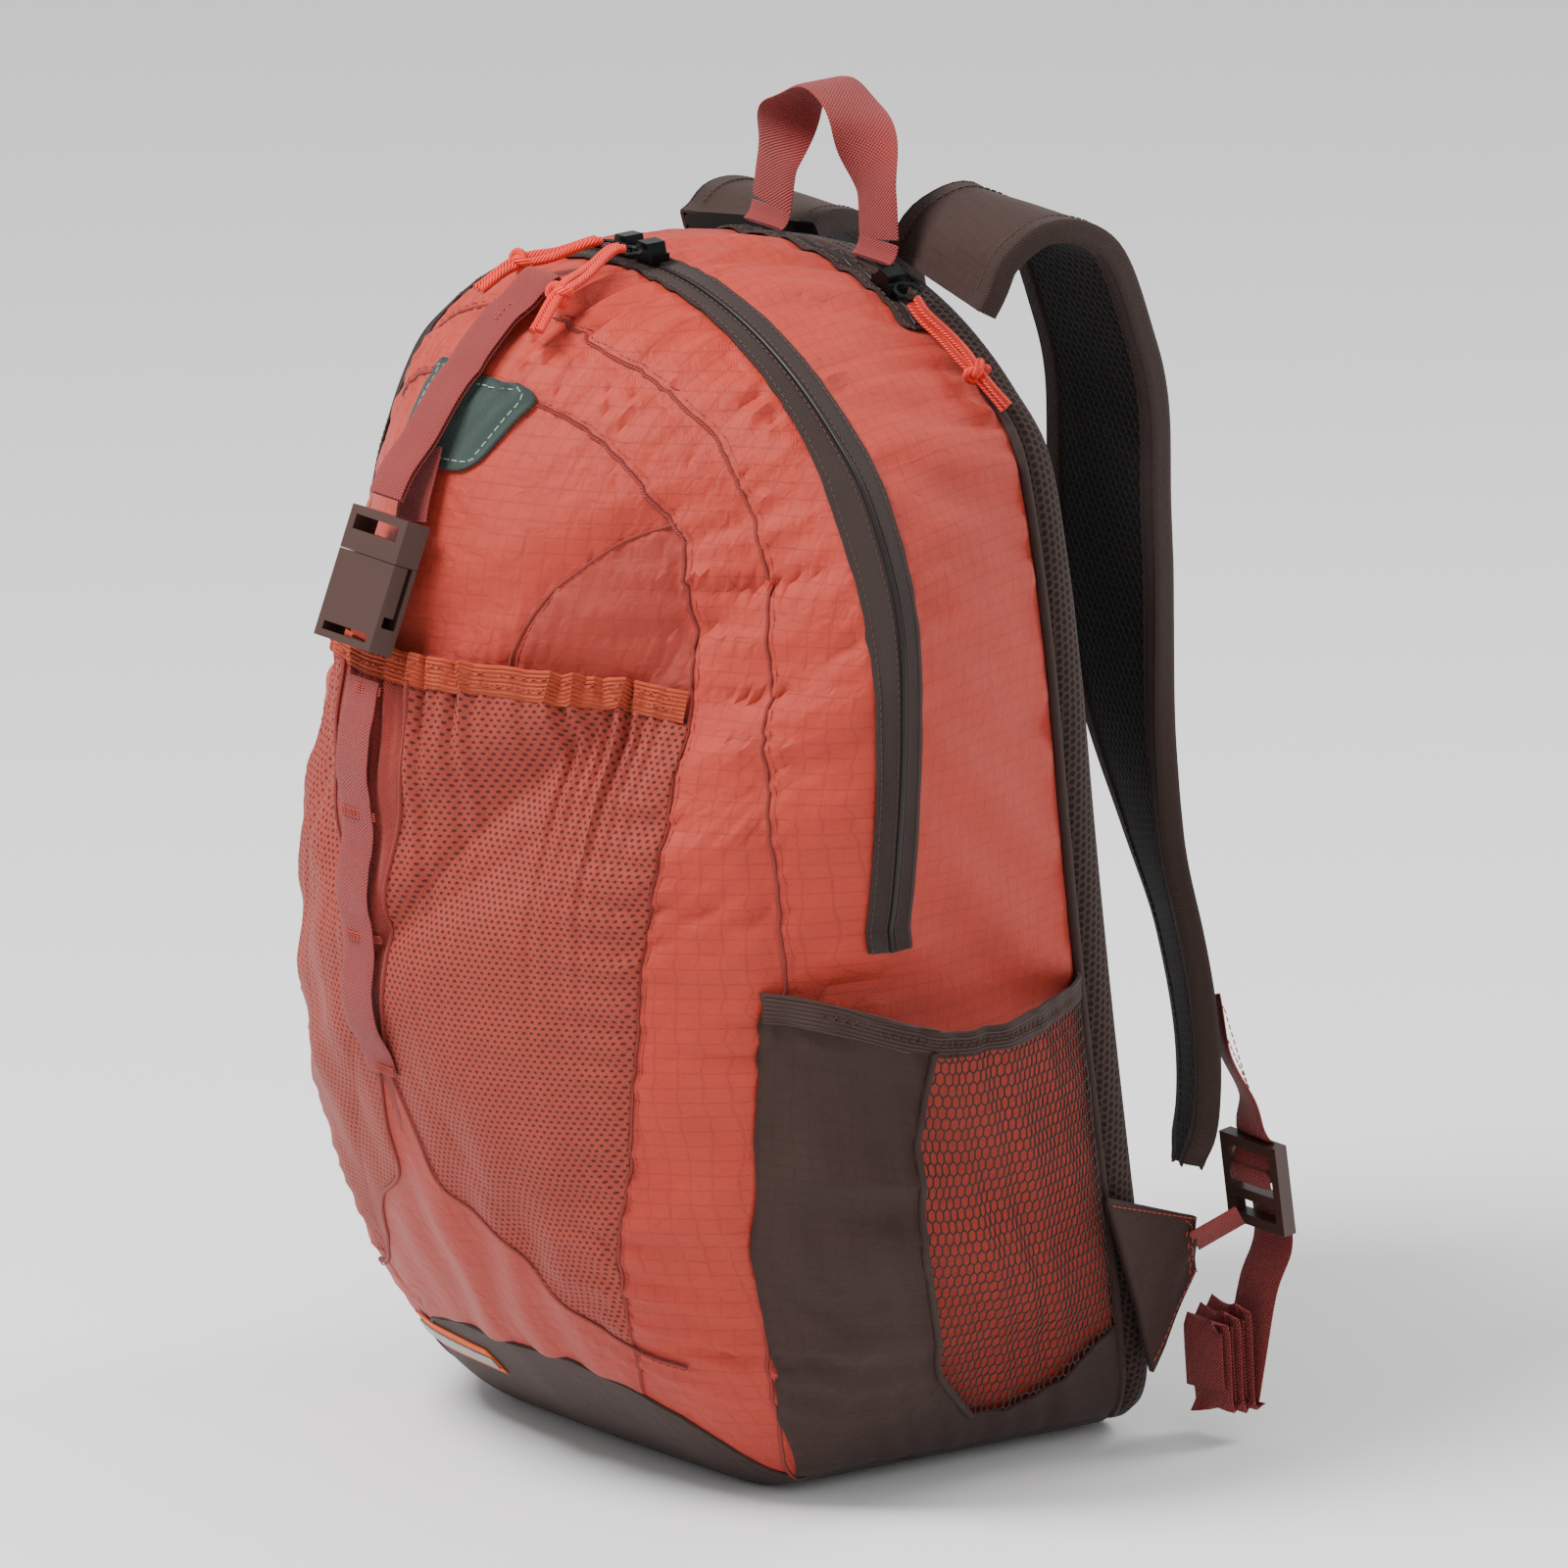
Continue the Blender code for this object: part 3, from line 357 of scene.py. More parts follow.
# The same cloth in a deeper shade, as the lower panels show.
CORAL_DEEP = Finish(
    "coral_twill", "8E2F26", "6A231D", Weave.TWILL, 0.0013, 0.58, 0.05, relief=0.00016, crease=0.0008
)
# Matt brown base cloth with a fine grid.
BROWN = Finish(
    "brown_ripstop", "301A13", "1E100C", Weave.RIPSTOP, 0.0055, 0.62, 0.05, relief=0.00018, crease=0.0009
)
# Knitted spacer mesh over foam, with open cells.
SPACER = Finish("spacer_mesh", "3C2823", "180F0D", Weave.SPACER, 0.0034, 0.85, 0.05, relief=0.0006)
# The strap's body side: near-black open mesh.
STRAP_MESH = Finish("strap_mesh", "1C1615", "080606", Weave.SPACER, 0.0040, 0.85, 0.05, relief=0.0008)
# Stretch mesh with small holes.
STRETCH = Finish(
    "stretch_mesh", "93372B", "431B18", Weave.PINHOLE, 0.0026, 0.70, 0.05, relief=0.0004, crease=0.0006
)
# Ribbed elastic bindings.
ELASTIC = Finish("coral_elastic", "AC3F20", "782B15", Weave.ELASTIC, 0.0017, 0.70, 0.05, relief=0.0004)
BROWN_ELASTIC = Finish(
    "brown_elastic", "3A2520", "251612", Weave.ELASTIC, 0.0017, 0.75, 0.05, relief=0.0004
)
# Rosy polyester webbing with a coarse square grain.
WEBBING = Finish("rosy_webbing", "9A3B39", "6C2827", Weave.WEBBING, 0.0018, 0.62, 0.05, relief=0.0004)
BROWN_WEBBING = Finish("brown_binding", "3A2620", "241713", Weave.WEBBING, 0.0015, 0.7, 0.05, relief=0.0003)
# Zip tape, woven fine and flat.
TAPE = Finish("zip_tape", "33231F", "211613", Weave.TWILL, 0.0010, 0.7, 0.05, relief=0.0002)
# Nylon coil.
COIL = Finish("nylon_coil", "1C1514", "0E0A09", Weave.PLAIN, roughness=0.4)
# Coated patch cloth.
PATCH = Finish("coated_patch", "36443F", "25302D", Weave.TWILL, 0.0012, 0.55, 0.05, relief=0.00015)
# Braided neon cord.
CORD = Finish("neon_cord", "FF3A28", "DC2416", Weave.BRAID, 0.0016, 0.55, 0.05, relief=0.0004)
# Moulded acetal with a soft sheen.
ACETAL = Finish("brown_acetal", "3E2822", "2C1C18", Weave.PLAIN, roughness=0.36, gloss=0.5)
# Black painted zinc alloy with a green cast.
METAL = Finish("black_zinc", "1E2222", "14181A", Weave.PLAIN, roughness=0.3, metallic=0.9, gloss=0.5)
# Fluorescent tape and its glass-bead stripe.
FLUORESCENT = Finish("fluorescent_tape", "FF6A22", "E2531A", Weave.TWILL, 0.0010, 0.5, 0.1)
REFLECTOR = Finish("bead_reflector", "A9ABAA", "8C8F8F", Weave.RIPSTOP, 0.0025, 0.32, metallic=0.4)
# Sewing thread.
THREAD = Finish("coral_thread", "A04038", "7C3029", Weave.PLAIN, roughness=0.7)
DARK_THREAD = Finish("brown_thread", "4A342D", "2F201B", Weave.PLAIN, roughness=0.7)
# The light grey thread of the patch's dashes.
GREY_THREAD = Finish("grey_thread", "8F9A94", "6A746F", Weave.PLAIN, roughness=0.7)
# Pocket net's knitted cord.
NET = Finish("net_cord", "3A2420", "261713", Weave.PLAIN, roughness=0.75, sheen=0.05)


# --- Meshes ----------------------------------------------------------------------


def placed(name: str, data: bpy.types.ID) -> bpy.types.Object:
    """A new object of the scene."""
    obj = bpy.data.objects.new(name, data)
    bpy.context.scene.collection.objects.link(obj)
    return obj


def wear(obj: bpy.types.Object, body: str, *nodes: str) -> bpy.types.Object:
    """Fixes a piece to a body, in place of the CAD nodes it stands for."""
    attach(obj, body)
    if nodes:
        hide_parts(*nodes)
    return obj


def mesh_object(
    name: str, verts: Array, faces: Sequence[Sequence[int]], uv: Array, material: bpy.types.Material,
    shade: Array | None = None,
) -> bpy.types.Object:
    """A mesh object with a map in metres.

    Args:
        name: The object's name.
        verts: Its points.
        faces: Its faces, as indices of points.
        uv: A map in metres, one pair per point.
        material: Its material.
        shade: How far each point's colour goes to the finish's second one, for a darker panel and for
            painted shade.

    Returns:
        The object, smooth and at the origin.
    """
    mesh = bpy.data.meshes.new(name)
    mesh.from_pydata([tuple(v) for v in verts.tolist()], [], [tuple(f) for f in faces])
    mesh.validate()
    loops = np.zeros(len(mesh.loops), np.int32)
    mesh.loops.foreach_get("vertex_index", loops)
    layer = mesh.uv_layers.new(name="cloth")
    layer.data.foreach_set("uv", np.asarray(uv, np.float32)[loops].ravel())
    attribute = mesh.attributes.new("shade", "FLOAT", "POINT")
    attribute.data.foreach_set(
        "value", (np.zeros(len(verts)) if shade is None else shade).astype(np.float32)
    )
    mesh.materials.append(material)
    mesh.shade_smooth()
    mesh.set_sharp_from_angle(angle=math.radians(50))
    return placed(name, mesh)


def bake(obj: bpy.types.Object) -> bpy.types.Object:
    """Applies an object's modifiers."""
    graph = bpy.context.evaluated_depsgraph_get()
    mesh = bpy.data.meshes.new_from_object(obj.evaluated_get(graph))
    obj.modifiers.clear()
    obj.data = mesh
    return obj


def thicken(obj: bpy.types.Object, thickness: float, offset: float = 0.0) -> bpy.types.Object:
    """Gives a single layer a thickness: offset 1 grows outwards, -1 inwards and 0 both ways."""
    modifier = obj.modifiers.new("thickness", "SOLIDIFY")
    modifier.thickness = thickness
    modifier.offset = offset
    modifier.use_even_offset = False
    return bake(obj)


def grid_faces(rows: int, columns: int, closed: bool = False, flip: bool = False) -> list[tuple[int, ...]]:
    """The quads of a grid of points; closed joins its last column to its first."""
    faces = []
    for i in range(rows - 1):
        for j in range(columns if closed else columns - 1):
            k = (j + 1) % columns
            quad = (i * columns + j, i * columns + k, (i + 1) * columns + k, (i + 1) * columns + j)
            faces.append(quad[::-1] if flip else quad)
    return faces


def grid_object(name: str, grid: Array, material: bpy.types.Material, thickness: float) -> bpy.types.Object:
    """A sheet of cloth through a grid of points, mapped by its own lengths; 0 leaves it a single layer."""
    rows, columns = grid.shape[:2]
    across = np.array([travelled(row) for row in grid])
    across -= across[:, columns // 2][:, None]
    down = np.array([travelled(column) for column in grid.transpose(1, 0, 2)]).T
    uv = np.stack([across, down], axis=2).reshape(-1, 2)
    obj = mesh_object(name, grid.reshape(-1, 3), grid_faces(rows, columns), uv, material)
    return thicken(obj, thickness) if thickness else obj


def clip(
    verts: Array, extra: Array, faces: Array, keep: Array
) -> tuple[Array, Array, list[tuple[int, ...]]]:
    """Cuts a triangle mesh along the line where a value is 0 and keeps the side above it.

    Args:
        verts: The points.
        extra: More columns that are carried along, such as the map.
        faces: Triangles.
        keep: One value per point.

    Returns:
        The points, the extra columns and the faces of what is kept.
    """
    everything = np.hstack([verts, extra])
    points: list[Array] = []
    index: dict[tuple[int, int], int] = {}
    made: list[tuple[int, ...]] = []

    def corner(i: int, j: int) -> int:
        """The new index of a point, or of the cut between two points."""
        key = (min(i, j), max(i, j))
        if key not in index:
            index[key] = len(points)
            if i == j:
                points.append(everything[i])
            else:
                a, b = key
                t = keep[a] / (keep[a] - keep[b])
                points.append(everything[a] + t * (everything[b] - everything[a]))
        return index[key]

    for face in faces[(keep[faces] > 0).any(axis=1)].tolist():
        ring = []
        for i, j in zip(face, face[1:] + face[:1]):
            if keep[i] > 0:
                ring.append(corner(i, i))
            if (keep[i] > 0) != (keep[j] > 0):
                ring.append(corner(i, j))
        if len(ring) > 2:
            made.append(tuple(ring))
    out = np.array(points)
    return out[:, :3], out[:, 3:], made


def frames_of(path: Array, across: Array) -> tuple[Array, Array]:
    """(across, out) at each station of a path, square to it."""
    along = unit(np.gradient(path, axis=0))
    across = unit(across - along * np.sum(across * along, axis=1, keepdims=True))
    return across, np.cross(along, across)


def ribbon(
    name: str, path: Array, across: Array, width: Array | float, thickness: float,
    material: bpy.types.Material, columns: int = 9, crown: float = 0.0,
) -> bpy.types.Object:
    """A flat band with rounded edges along a path.

    Args:
        name: The object's name.
        path: Its middle line.
        across: The direction of its width at each station.
        width: Its width, one number or one per station.
        thickness: Its thickness.
        material: Its material.
        columns: Points across one face.
        crown: How much thicker it is in the middle, for a padded band.

    Returns:
        The band, closed, with u across it and v along it.
    """
    side, out = frames_of(path, across)
    half = np.broadcast_to(np.asarray(width, float) / 2, (len(path),))
    share = np.linspace(-1, 1, columns)
    edge = np.sqrt(np.clip(1 - np.abs(share) ** 8, 0.0, 1))
    depth = thickness / 2 * (0.25 + 0.75 * edge) + crown * (1 - share**2)
    section = np.concatenate(
        [np.stack([share, depth], axis=1), np.stack([share[::-1], -depth[::-1]], axis=1)]
    )
    rows = path[:, None] + side[:, None] * (section[None, :, :1] * half[:, None, None])
    rows = rows + out[:, None] * section[None, :, 1:]
    count = len(section)
    along = np.broadcast_to(travelled(path)[:, None], (len(path), count))
    uv = np.stack([section[None, :, 0] * half[:, None], along], axis=2)
    faces = grid_faces(len(path), count, closed=True, flip=True)
    faces += [tuple(range(count)), tuple(range((len(path) - 1) * count, len(path) * count))[::-1]]
    obj = mesh_object(name, rows.reshape(-1, 3), faces, uv.reshape(-1, 2), material)
    return outwards(obj)


def outwards(obj: bpy.types.Object) -> bpy.types.Object:
    """Turns a closed mesh's faces outwards."""
    bm = bmesh.new()
    bm.from_mesh(obj.data)
    bmesh.ops.recalc_face_normals(bm, faces=bm.faces)
    bm.to_mesh(obj.data)
    bm.free()
    return obj


def tube(
    name: str, path: Array, radius: float, material: bpy.types.Material, sides: int = 8,
    closed: bool = False,
) -> bpy.types.Object:
    """A round cord along a path, mapped in metres."""
    chords = np.roll(path, -1, axis=0) - np.roll(path, 1, axis=0) if closed else np.gradient(path, axis=0)
    along = unit(chords)
    normal = np.cross(along[0], [0.3, 0.5, 0.81])
    normals = []
    for direction in along:
        normal = normal - direction * (normal @ direction)
        normal = normal / np.linalg.norm(normal)
        normals.append(normal)
    first = np.array(normals)
    second = np.cross(along, first)
    turn = np.linspace(0, 2 * math.pi, sides, endpoint=False)
    rows = path[:, None] + radius * (
        first[:, None] * np.cos(turn)[None, :, None] + second[:, None] * np.sin(turn)[None, :, None]
    )
    uv = np.stack(np.broadcast_arrays(turn[None] * radius, travelled(path)[:, None]), axis=2)
    faces = grid_faces(len(path), sides, closed=True)
    if closed:
        last = (len(path) - 1) * sides
        faces += [(last + j, last + (j + 1) % sides, (j + 1) % sides, j) for j in range(sides)]
    else:
        faces += [tuple(range(sides))[::-1], tuple(range((len(path) - 1) * sides, len(path) * sides))]
    return outwards(mesh_object(name, rows.reshape(-1, 3), faces, uv.reshape(-1, 2), material))


def join(name: str, parts: Sequence[bpy.types.Object]) -> bpy.types.Object:
    """Several meshes as one object."""
    keep = parts[0]
    with bpy.context.temp_override(
        active_object=keep, object=keep, selected_editable_objects=list(parts), selected_objects=list(parts)
    ):
        bpy.ops.object.join()
    keep.name = name
    return keep


class LineTree:
    """Geometry Nodes that turn the edges of a mesh into thread or cord."""

    def __init__(self, name: str, *sizes: str) -> None:
        """Makes the tree's sockets and the nodes that every such tree has.

        Args:
            name: The tree's name.
            sizes: The names of its inputs that are lengths.
        """
        self.tree = bpy.data.node_groups.new(name, "GeometryNodeTree")
        face = self.tree.interface
        face.new_socket("Geometry", in_out="INPUT", socket_type="NodeSocketGeometry")
        self.inputs: dict[str, str] = {}
        for label, kind in [
            *((size, "NodeSocketFloat") for size in sizes), ("Material", "NodeSocketMaterial")
        ]:
            socket = face.new_socket(label, in_out="INPUT", socket_type=kind)
            self.inputs[label] = socket.identifier
        face.new_socket("Geometry", in_out="OUTPUT", socket_type="NodeSocketGeometry")
        self.entry, self.end = self.add("NodeGroupInput"), self.add("NodeGroupOutput")
        self.curve = self.add("GeometryNodeMeshToCurve")
        self.ring = self.add("GeometryNodeCurvePrimitiveCircle")
        self.sweep = self.add("GeometryNodeCurveToMesh")
        self.real = self.add("GeometryNodeRealizeInstances")
        self.paint = self.add("GeometryNodeSetMaterial")
        self.sweep.inputs["Fill Caps"].default_value = True
        self.link(self.entry, "Geometry", self.curve, "Mesh")
        self.link(self.entry, "Radius", self.ring, "Radius")
        self.link(self.ring, "Curve", self.sweep, "Profile Curve")
        self.link(self.real, "Geometry", self.paint, "Geometry")
        self.link(self.entry, "Material", self.paint, "Material")
        self.link(self.paint, "Geometry", self.end, "Geometry")

    def add(self, kind: str) -> bpy.types.Node:
        """A new node."""
        return self.tree.nodes.new(kind)

    def link(self, source: bpy.types.Node, out: str, target: bpy.types.Node, into: str) -> None:
        """Links an output to an input, both by name."""
        self.tree.links.new(source.outputs[out], target.inputs[into])

    def run(self, name: str, verts: list, edges: list, **values: object) -> bpy.types.Object:
        """The plain mesh that the tree makes of points and edges, with each input's value by its name."""
        mesh = bpy.data.meshes.new(name)
        mesh.from_pydata(verts, edges, [])
        obj = placed(name, mesh)
        modifier = obj.modifiers.new("lines", "NODES")
        modifier.node_group = self.tree
        for label, value in values.items():
            modifier[self.inputs[label]] = value
        bake(obj)
        obj.data.shade_smooth()
        return obj


class Stitcher(LineTree):
    """Lays one stitch after another along a line."""

    def __init__(self) -> None:
        super().__init__("stitch_line", "Spacing", "Length", "Radius")
        self.ring.inputs["Resolution"].default_value = 6
        points = self.add("GeometryNodeResampleCurve")
        points.mode = "LENGTH"
        line = self.add("GeometryNodeCurvePrimitiveLine")
        line.mode = "DIRECTION"
        line.inputs["Direction"].default_value = (0, 0, 1)
        turn = self.add("FunctionNodeAlignRotationToVector")
        turn.axis = "Z"
        tangent, instances = self.add("GeometryNodeInputTangent"), self.add("GeometryNodeInstanceOnPoints")
        self.link(self.curve, "Curve", points, "Curve")
        self.link(self.entry, "Spacing", points, "Length")
        self.link(self.entry, "Length", line, "Length")
        self.link(line, "Curve", self.sweep, "Curve")
        self.link(tangent, "Tangent", turn, "Vector")
        self.link(points, "Curve", instances, "Points")
        self.link(self.sweep, "Mesh", instances, "Instance")
        self.link(turn, "Rotation", instances, "Rotation")
        self.link(instances, "Instances", self.real, "Geometry")

    def sew(
        self, name: str, lines: Sequence[Array], material: bpy.types.Material,
        spacing: float = 0.0032, length: float = 0.0022, radius: float = 0.00028,
    ) -> bpy.types.Object:
        """Stitches along lines as one mesh.

        Args:
            name: The object's name.
            lines: The lines, each an array of points.
            material: The thread.
            spacing: From one stitch's start to the next.
            length: Of one stitch.
            radius: Of the thread.

        Returns:
            The stitches' object.
        """
        verts: list[tuple[float, ...]] = []
        edges: list[tuple[int, int]] = []
        for line in lines:
            edges += [(len(verts) + i, len(verts) + i + 1) for i in range(len(line) - 1)]
            verts += [tuple(p) for p in line.tolist()]
        return self.run(
            name, verts, edges, Spacing=spacing, Length=length, Radius=radius, Material=material
        )


class Netting(LineTree):
    """Knits a lattice of edges into cord."""

    def __init__(self) -> None:
        super().__init__("netting", "Radius")
        self.ring.inputs["Resolution"].default_value = 5
        self.link(self.curve, "Curve", self.sweep, "Curve")
        self.link(self.sweep, "Mesh", self.real, "Geometry")


# --- The body's form -------------------------------------------------------------


@dataclass(frozen=True)
class BagSizes:
    """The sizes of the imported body, which its CAD solids have too."""

    zip_y: float = -0.080
    zip_radius: float = 0.190
    zip_centre_z: float = 0.2995
    back_radius: float = 0.165
    back_centre_z: float = 0.317
    back_top_y: float = 0.012
    back_bend_z: float = 0.416
    back_lean: float = 0.00387
    back_lean_power: float = 1.6
    pad: float = 0.022
    front_depth: float = 0.134
    front_z: float = 0.224
    ridge: float = 0.02
    side_bulge: float = 0.005
    base_half_width: float = 0.100
    middle: tuple[float, float, float] = (0, -0.060, 0.250)


S = BagSizes()
# The seams of the front, on the right half, as (x, z) from the top down.
SEAM_INNER = np.array(
    [
        (0, 0.458), (0.010, 0.4565), (0.039, 0.449), (0.057, 0.442), (0.075, 0.428), (0.087, 0.412),
        (0.095, 0.400), (0.103, 0.360), (0.108, 0.315), (0.110, 0.278), (0.107, 0.240), (0.105, 0.192),
        (0.097, 0.138), (0.081, 0.074), (0.070, 0.048)
    ]
)
SEAM_OUTER = np.array(
    [
        (0, 0.479), (0.021, 0.477), (0.054, 0.466), (0.077, 0.454), (0.096, 0.439), (0.112, 0.415),
        (0.120, 0.397), (0.128, 0.367), (0.137, 0.318), (0.141, 0.293), (0.143, 0.260), (0.143, 0.230),
        (0.136, 0.170), (0.130, 0.112), (0.118, 0.041), (0.104, 0.008)
    ]
)
SEAM_ARCH = np.array(
    [(0.089, 0.409), (0.077, 0.402), (0.066, 0.390), (0.058, 0.379), (0.051, 0.357), (0.050, 0.345)]
)
# The upper edge of the base's upstand, over |x|.
BASE_EDGE = (
    (0, 0.035, 0.065, 0.083, 0.092, 0.100, 0.110, 0.14),
    (0.052, 0.052, 0.046, 0.036, 0.026, 0.014, 0.007, 0.006)
)


def back_y(z: Array | float) -> Array:
    """How far back the back panel's seam is at a height."""
    below = 1000 * np.maximum(0.0, S.back_bend_z - np.asarray(z))
    return S.back_top_y + S.back_lean * below**S.back_lean_power / 1000


class BagForm:
    """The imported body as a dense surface, on which everything is laid."""

    def __init__(self, half_around: int = 150, front_rows: int = 62, rear_rows: int = 40) -> None:
        self.half_around = half_around
        self.zip_ring = self.outline(self.zip_side())
        self.back_ring = self.outline(self.back_side())
        self.around = len(self.zip_ring)
        self.front = np.array([self.front_row(s) for s in np.linspace(0, 1, front_rows + 1)[1:]])
        self.rear = np.array([self.rear_row(s) for s in np.linspace(0, 1, rear_rows)])
        self.rear_plain = self.rear.copy()
        self.wrinkle()
        self.tree = self.search_tree(self.front, self.rear)

    def arc(self, radius: float, centre: float) -> list[tuple[float, float]]:
        """The arch's half, from its side to its top."""
        return [
            (radius * math.sin(math.radians(a)), centre + radius * math.cos(math.radians(a)))
            for a in (50, 40, 30, 20, 10, 0)
        ]

    def zip_side(self) -> list[tuple[float, float]]:
        """The right half of the outline in the zip's plane, from the bottom to the top."""
        side = [(0, 0), (0.050, 0), (0.088, 0.002), (0.114, 0.016), (0.132, 0.052), (0.144, 0.115)]
        side += [(0.152, 0.195), (0.164, 0.270), (0.169, 0.330), (0.166, 0.378)]
        return side + self.arc(S.zip_radius, S.zip_centre_z)

    def back_side(self) -> list[tuple[float, float]]:
        """The right half of the back seam's outline, from the bottom to the top."""
        side = [
            (0, 0), (0.060, 0), (S.base_half_width, 0.003), (0.122, 0.020), (0.131, 0.060), (0.136, 0.120)
        ]
        side += [(0.140, 0.200), (0.142, 0.270), (0.142, 0.330), (0.137, 0.382)]
        return side + self.arc(S.back_radius, S.back_centre_z)

    def outline(self, side: list[tuple[float, float]]) -> Array:
        """A closed ring of (x, z) from its right half."""
        half = spline([(x, 0, z) for x, z in side], self.half_around + 1)[:, [0, 2]]
        half[:, 1] = np.maximum(half[:, 1], 0)
        return np.vstack([half, half[-2:0:-1] * [-1, 1]])

    def front_row(self, share: float) -> Array:
        """The ring of the front at a share of the way from its middle to the zip."""
        ring = self.zip_ring
        angle = np.degrees(np.arctan2(np.abs(ring[:, 0]), ring[:, 1] - S.front_z))
        angles = (0, 12, 24, 36, 48, 62, 84, 110, 133, 155, 180)
        power = 2 / np.interp(
            angle, angles, (2.8, 2.15, 1.55, 1.15, 1.18, 1.41, 1.59, 1.72, 1.66, 1.4, 1.5)
        )
        turn = share * math.pi / 2
        reach = math.sin(turn) ** power
        rounded = np.sqrt(((reach + S.ridge) ** 2 - S.ridge**2) / ((1 + S.ridge) ** 2 - S.ridge**2))
        x = ring[:, 0] * rounded
        z = np.maximum(0, S.front_z + (ring[:, 1] - S.front_z) * rounded)
        y = S.zip_y - S.front_depth * np.maximum(0, math.cos(turn)) ** power
        return np.stack([x, y, z], axis=1)

    def rear_row(self, share: float) -> Array:
        """The ring at a share of the way from the zip to the back panel's seam."""
        flat = self.zip_ring + share * (self.back_ring - self.zip_ring)
        out = unit(np.stack([flat[:, 0], flat[:, 1] - S.middle[2]], axis=1))
        bulge = S.side_bulge * math.sin(math.pi * share) * smooth(0.01, 0.08, flat[:, 1])
        flat = flat + out * bulge[:, None]
        flat[:, 1] = np.maximum(0, flat[:, 1])
        return np.stack([flat[:, 0], S.zip_y + share * (back_y(flat[:, 1]) - S.zip_y), flat[:, 1]], axis=1)

    def normals(self, grid: Array) -> Array:
        """The outward normals of a grid that is closed across."""
        down = np.gradient(grid, axis=0)
        across = np.roll(grid, -1, axis=1) - np.roll(grid, 1, axis=1)
        normal = unit(np.cross(across, down))
        away = grid - np.array(S.middle)
        return np.where(np.sum(normal * away, axis=2, keepdims=True) < 0, -normal, normal)

    def wrinkle(self) -> None:
        """Presses the seams in, gathers the cloth beside them and folds it softly."""
        rows, around = self.front.shape[:2]
        points = self.front.reshape(-1, 3)
        flat = np.stack([np.abs(points[:, 0]), points[:, 2]], axis=1)
        depth = np.zeros(len(points))
        side = np.sign(points[:, 0] + 1e-9)
        for seed, (line, reach, height) in enumerate(
            ((SEAM_INNER, 0.016, 0.0013), (SEAM_OUTER, 0.020, 0.0016), (SEAM_ARCH, 0.010, 0.0010))
        ):
            away, along = line_distance(flat, line)
            depth -= 0.0014 * np.exp(-((away / 0.0028) ** 2))
            gather = ripple(along / 0.011 + side * 3.1 + away / 0.09, 11 + seed)
            depth += height * gather * np.exp(-away / reach) * smooth(0.0, 0.004, away)
        upper = smooth(0.06, 0.20, points[:, 2])
        depth += 0.0012 * ripple(points[:, 0] / 0.055 + points[:, 2] / 0.16, 31) * upper
        depth += 0.0009 * ripple(points[:, 2] / 0.060 - points[:, 0] / 0.10, 32)
        edge = np.broadcast_to(np.linspace(0, 1, rows)[:, None], (rows, around)).reshape(-1)
        turn = np.broadcast_to(np.arange(around)[None] / around, (rows, around)).reshape(-1)
        depth += 0.0017 * ripple(turn * 70, 33) * smooth(0.72, 0.92, edge)
        low = smooth(0.02, 0.07, points[:, 2]) * self.flat_tape(points)
        self.front = self.front + self.normals(self.front) * (depth * low).reshape(rows, around, 1)
        rows = self.rear.shape[0]
        share = np.broadcast_to(np.linspace(0, 1, rows)[:, None], (rows, around))
        turn = np.broadcast_to(np.arange(around)[None] / around, (rows, around))
        depth = 0.0017 * ripple(turn * 70, 33) * np.exp(-share / 0.28)
        fade = smooth(1.0, 0.93, share)
        depth += 0.0018 * ripple(turn * 60 + share * 0.8, 34) * np.exp(-(1 - share) / 0.22) * fade
        depth += 0.0016 * ripple(turn * 30 + share * 1.3, 35) * np.sin(math.pi * share)
        depth -= 0.0012 * np.exp(-(((1 - share) / 0.03) ** 2))
        depth *= smooth(0.02, 0.07, self.rear[..., 2]) * self.flat_tape(self.rear)
        self.rear = self.rear + self.normals(self.rear) * depth[..., None]
        self.rear[0] = self.front[-1]

    def flat_tape(self, points: Array) -> Array:
        """0 under the zip's tape, where the cloth can't wrinkle, and 1 beyond it."""
        beyond = smooth(0.008, 0.016, np.abs(points[..., 1] - S.zip_y))
        return np.maximum(beyond, smooth(0.26, 0.24, points[..., 2]))

    def search_tree(self, front: Array, rear: Array) -> BVHTree:
        """A tree for laying pieces on the surface."""
        verts = np.vstack(
            [front.reshape(-1, 3), rear.reshape(-1, 3), [[0, S.zip_y - S.front_depth, S.front_z]]]
        )
        faces = [tuple(f) for f in grid_faces(len(front), self.around, closed=True)]
        shift = len(front) * self.around
        faces += [tuple(i + shift for i in f) for f in grid_faces(len(rear), self.around, closed=True)]
        faces += [(i, (i + 1) % self.around, len(verts) - 1) for i in range(self.around)]
        return BVHTree.FromPolygons(verts.tolist(), faces)

    def lay(self, start: Sequence[float], towards: Sequence[float], lift: float) -> Array:
        """The first point of the surface along a ray, lifted along the surface's normal."""
        direction = Vector(towards).normalized()
        place, normal, _, _ = self.tree.ray_cast(Vector(start), direction)
        if place is None:
            place, normal, _, _ = self.tree.find_nearest(
                Vector(start) + direction * (Vector(start) - Vector(S.middle)).length
            )
        if normal.dot(direction) > 0:
            normal = -normal
        return np.array(place + normal * lift)

    def on_front(self, x: float, z: float, lift: float) -> Array:
        """A point over the front, lifted away from the body's middle."""
        place = self.lay((x, -1, z), (0, 1, 0), 0.0)
        return place + unit(place - np.array(S.middle)) * lift

    def on_side(self, side: int, y: float, z: float, lift: float) -> Array:
        """A point over a side, lifted along X."""
        return self.lay((side, y, z), (-side, 0, 0), 0.0) + np.array([side * lift, 0, 0])

